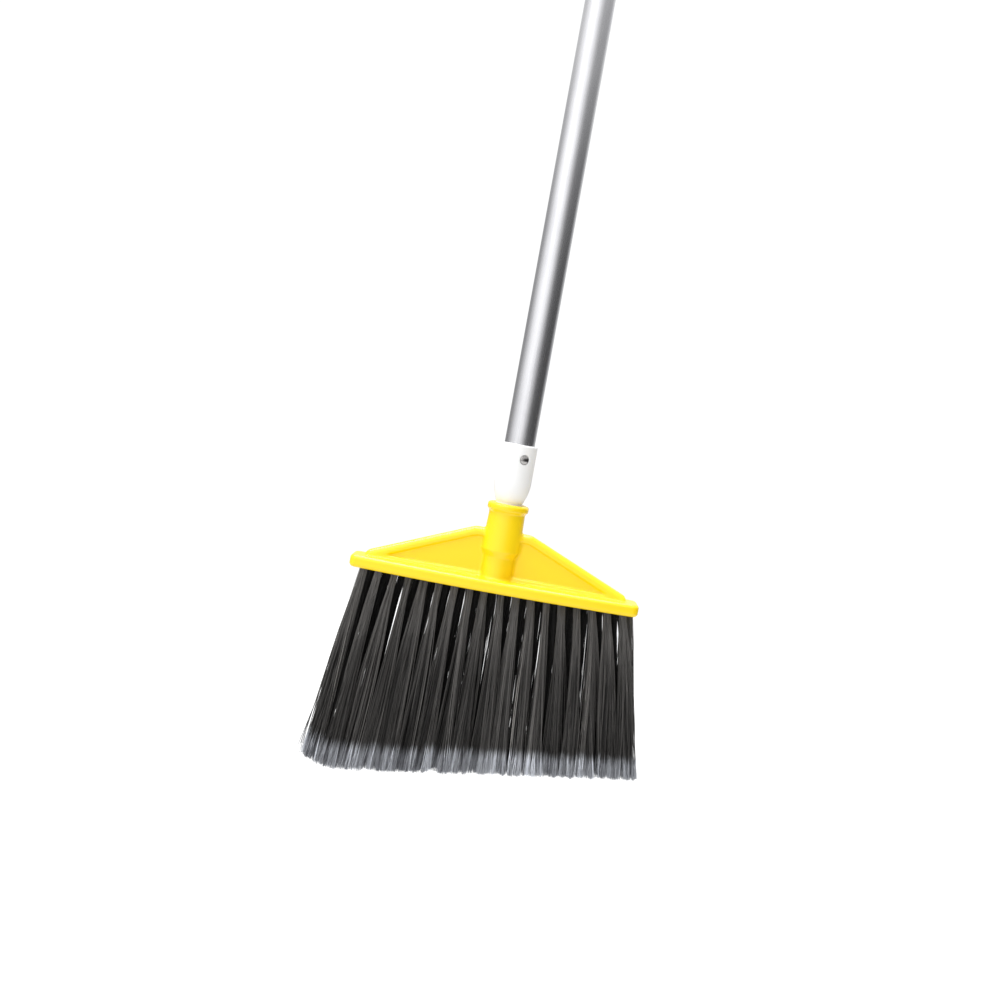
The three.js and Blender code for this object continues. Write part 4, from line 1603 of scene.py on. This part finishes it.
@dataclass
class SwivelHanger(FieldPart):
    """The cap with the hanging eye, which turns on the plug's barb. Lengths in mm, heights from its foot."""

    NAME, NODE, BODY, FINISH = "hanging_eye", "swivel_hanger", "hanger", GREY

    radius: float = 14.0
    thickness: float = 10.0
    skirt: float = 7.0
    shoulder: float = 16.6
    shoulder_share: float = 0.62
    cap_top: float = 17.6
    cap_edge: float = 0.8
    cap_fillet: float = 1.8
    leg_share: float = 0.86
    leg_low: float = 10.0
    eye_radius: float = 8.0
    eye_side: float = 1.4
    eye_edge: float = 1.6
    bore_radius: float = 4.45
    bore_edge: float = 0.3
    cavity_radius: float = 6.45
    cavity_low: float = 6.6
    cavity_bend: float = 10.6
    cavity_high: float = 14.0
    cavity_taper: float = 2.6
    cell: Triple = (0.45, 0.45, 0.45)

    def reach(self) -> Pair:
        """How far the hanger reaches along X and Y, in mm."""
        return self.radius, self.radius

    def _cavity(self, out: Array, z: Array) -> Array:
        """The bore for the stem and the cavity for the barb.

        Args:
            out: distances from the axis.
            z: heights.

        Returns:
            Distances to the hollow.
        """
        bore = np.maximum(out - self.bore_radius, z - self.cavity_high)
        roof = np.interp(z, [self.cavity_low, self.cavity_bend, self.cavity_high], [0, 0, self.cavity_taper])
        within = np.maximum(self.cavity_low - z, z - self.cavity_high)
        return np.minimum(bore, np.maximum(out - self.cavity_radius + roof, within))

    def distance(self, at: Sequence[Array]) -> Array:
        """The whole hanger, whose eye is at the origin of the frame.

        Args:
            at: places.

        Returns:
            Distances to it.
        """
        x, y, z = at
        out = np.hypot(x, y)
        radii = [self.radius, self.radius, self.radius * self.shoulder_share]
        cap = out - np.interp(z, [0, self.skirt, self.shoulder], radii)
        cap = round_max(cap, np.maximum(z - self.cap_top, -z), self.cap_edge)
        above = z + self.low.z / MM
        around = np.hypot(x, above)
        leg = np.maximum(np.abs(x) - self.radius * self.leg_share, np.maximum(above, self.leg_low - z))
        ring = np.minimum(around - self.radius, leg)
        eye = round_max(ring, np.abs(y) - self.thickness / 2, self.eye_side)
        hole = np.maximum(around - self.eye_radius, np.abs(y) - self.thickness)
        body = round_cut(round_min(cap, eye, self.cap_fillet), hole, self.eye_edge)
        return round_cut(body, self._cavity(out, z), self.bore_edge)


# ------------------------------ studio


@dataclass
class Studio:
    """Camera, light and floor. Lengths are in metres and angles in degrees."""

    lean: float = 10.3
    metres_across: float = 0.92
    away: float = 1.0
    eye_height: float = 0.165
    underside_across: float = 0.4925
    underside_down: float = 0.594
    front_edge: float = 0.024
    clip: Pair = (0.05, 60.0)
    light: float = 1.75
    rise: Pair = (-0.35, 0.75)
    low_light: float = 0.6
    risen_light: float = 0.8
    ground: float = 1.05
    band: Pair = (0.15, 0.45)
    soft: float = 0.55
    even: float = 0.6
    light_round: tuple[Pair, ...] = (
        (-180, 0.30), (-120, 0.22), (-92, 0.42), (-60, 0.80), (-30, 1.0), (-6, 0.88), (8, 0.64),
        (24, 0.32), (42, 0.07), (70, 0.04), (112, 0.05), (132, 0.30), (156, 0.5), (180, 0.38),
    )
    overhead: float = 9.0
    overhead_from: Triple = (-0.2, 0.1, 0.975)
    overhead_edges: Pair = (0.84, 0.93)
    lamp_from: Triple = (-1.0, -1.4, 1.3)
    lamp_side: float = 0.5
    lamp_power: float = 2.0
    floor_gap: float = 0.06
    floor_radius: float = 1.1
    floor_sides: int = 96
    floor_grey: float = 0.1
    floor_roughness: float = 0.9
    floor_glow: float = 0.96

    def __post_init__(self) -> None:
        """Reads the height of the block's underside from the frame."""
        self.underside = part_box("broom_block")[0].z

    def camera(self) -> None:
        """Places a level camera a little above the block, rolled so that the handle leans to the right."""
        data = bpy.data.cameras.new("camera")
        data.lens = data.sensor_width * self.away / self.metres_across
        lean = math.radians(self.lean)
        right = Vector((math.cos(lean), 0, math.sin(lean)))
        up = Vector((-math.sin(lean), 0, math.cos(lean)))
        camera = bpy.data.objects.new("camera", data)
        camera.matrix_world = Matrix((right, up, Vector((0, -1, 0)))).transposed().to_4x4()
        camera.location = (0, -self.away, self.underside + self.eye_height)
        drop = self.eye_height * self.away / (self.away - self.front_edge) / self.metres_across
        data.shift_x = 0.5 - self.underside_across - drop * math.sin(lean)
        data.shift_y = self.underside_down - 0.5 - drop * math.cos(lean)
        data.clip_start, data.clip_end = self.clip
        bpy.context.scene.collection.objects.link(camera)
        bpy.context.scene.camera = camera

    def world(self) -> None:
        """Lights from the front left, weakly from the right, and from overhead, on a white ground."""
        world = bpy.data.worlds.new("studio")
        bpy.context.scene.world = world
        world.use_nodes = True
        board = Board(world.node_tree)
        direction = board.node("ShaderNodeTexCoord", output="Generated")
        x, y, z = (board.part(direction, axis) for axis in "XYZ")
        stops = [(angle / 360 + 0.5, (level, level, level)) for angle, level in self.light_round]
        turn = board.math("ARCTAN2", x, y * -1.0) / (2 * math.pi) + 0.5
        ramp = board.node("ShaderNodeValToRGB", {"stops": stops}, {"Fac": turn})
        around = board.mix(z.math("ABSOLUTE").between(*self.band) * self.even, ramp, grey(self.soft))
        glow = (z.between(*self.rise) * self.risen_light + self.low_light) * self.light
        top = board.combined("DOT_PRODUCT", direction, self.overhead_from, "Value")
        top = top.between(*self.overhead_edges)
        seen = board.node("ShaderNodeLightPath", output="Is Camera Ray")
        strength = (glow * (1 - top) + top * self.overhead) * (1 - seen) + seen * self.ground
        colour = board.mix(board.math("MAXIMUM", seen, top), around, grey(1.0))
        ground = board.node("ShaderNodeBackground", {}, {"Color": colour, "Strength": strength})
        board.node("ShaderNodeOutputWorld", {}, {"Surface": ground})

    def lamp(self) -> None:
        """Adds a soft square lamp that looks at the block."""
        data = bpy.data.lights.new("key", "AREA")
        data.size, data.energy = self.lamp_side, self.lamp_power
        lamp = bpy.data.objects.new("key", data)
        aim = Vector((0, 0, self.underside))
        lamp.location = aim + Vector(self.lamp_from)
        lamp.rotation_euler = (aim - lamp.location).to_track_quat("-Z", "Y").to_euler()
        bpy.context.scene.collection.objects.link(lamp)

    def floor(self) -> None:
        """Adds a plain pale disc below the bristles, clear of them in every pose."""
        height = CAD_BOX[0].z - self.floor_gap
        turn = [2 * math.pi * step / self.floor_sides for step in range(self.floor_sides)]
        rim = [(self.floor_radius * math.cos(angle), self.floor_radius * math.sin(angle), height)
               for angle in turn]
        mesh = bpy.data.meshes.new("floor")
        mesh.from_pydata(rim, [], [tuple(range(self.floor_sides))])
        disc = place_piece("floor", mesh)
        mesh.materials.append(principled("pale floor", lambda board: {
            "Base Color": grey(self.floor_grey),
            "Roughness": self.floor_roughness,
            "Emission Color": grey(1.0),
            "Emission Strength": self.floor_glow,
        }))

    def build(self) -> None:
        """Sets up the whole studio."""
        bpy.context.scene.view_settings.view_transform = "Standard"
        self.camera()
        self.world()
        self.lamp()
        self.floor()


# ------------------------------ assembly


def main() -> None:
    """Builds the studio and then every sub-assembly, from the head up."""
    logging.basicConfig(level=logging.INFO, format="%(name)s: %(message)s")
    for maker in (Studio, BroomBlock, BristleFill, Ferrule, FerruleRivet, HandleTube, EndPlug, SwivelHanger):
        maker().build()


if __name__ == "__main__":
    main()
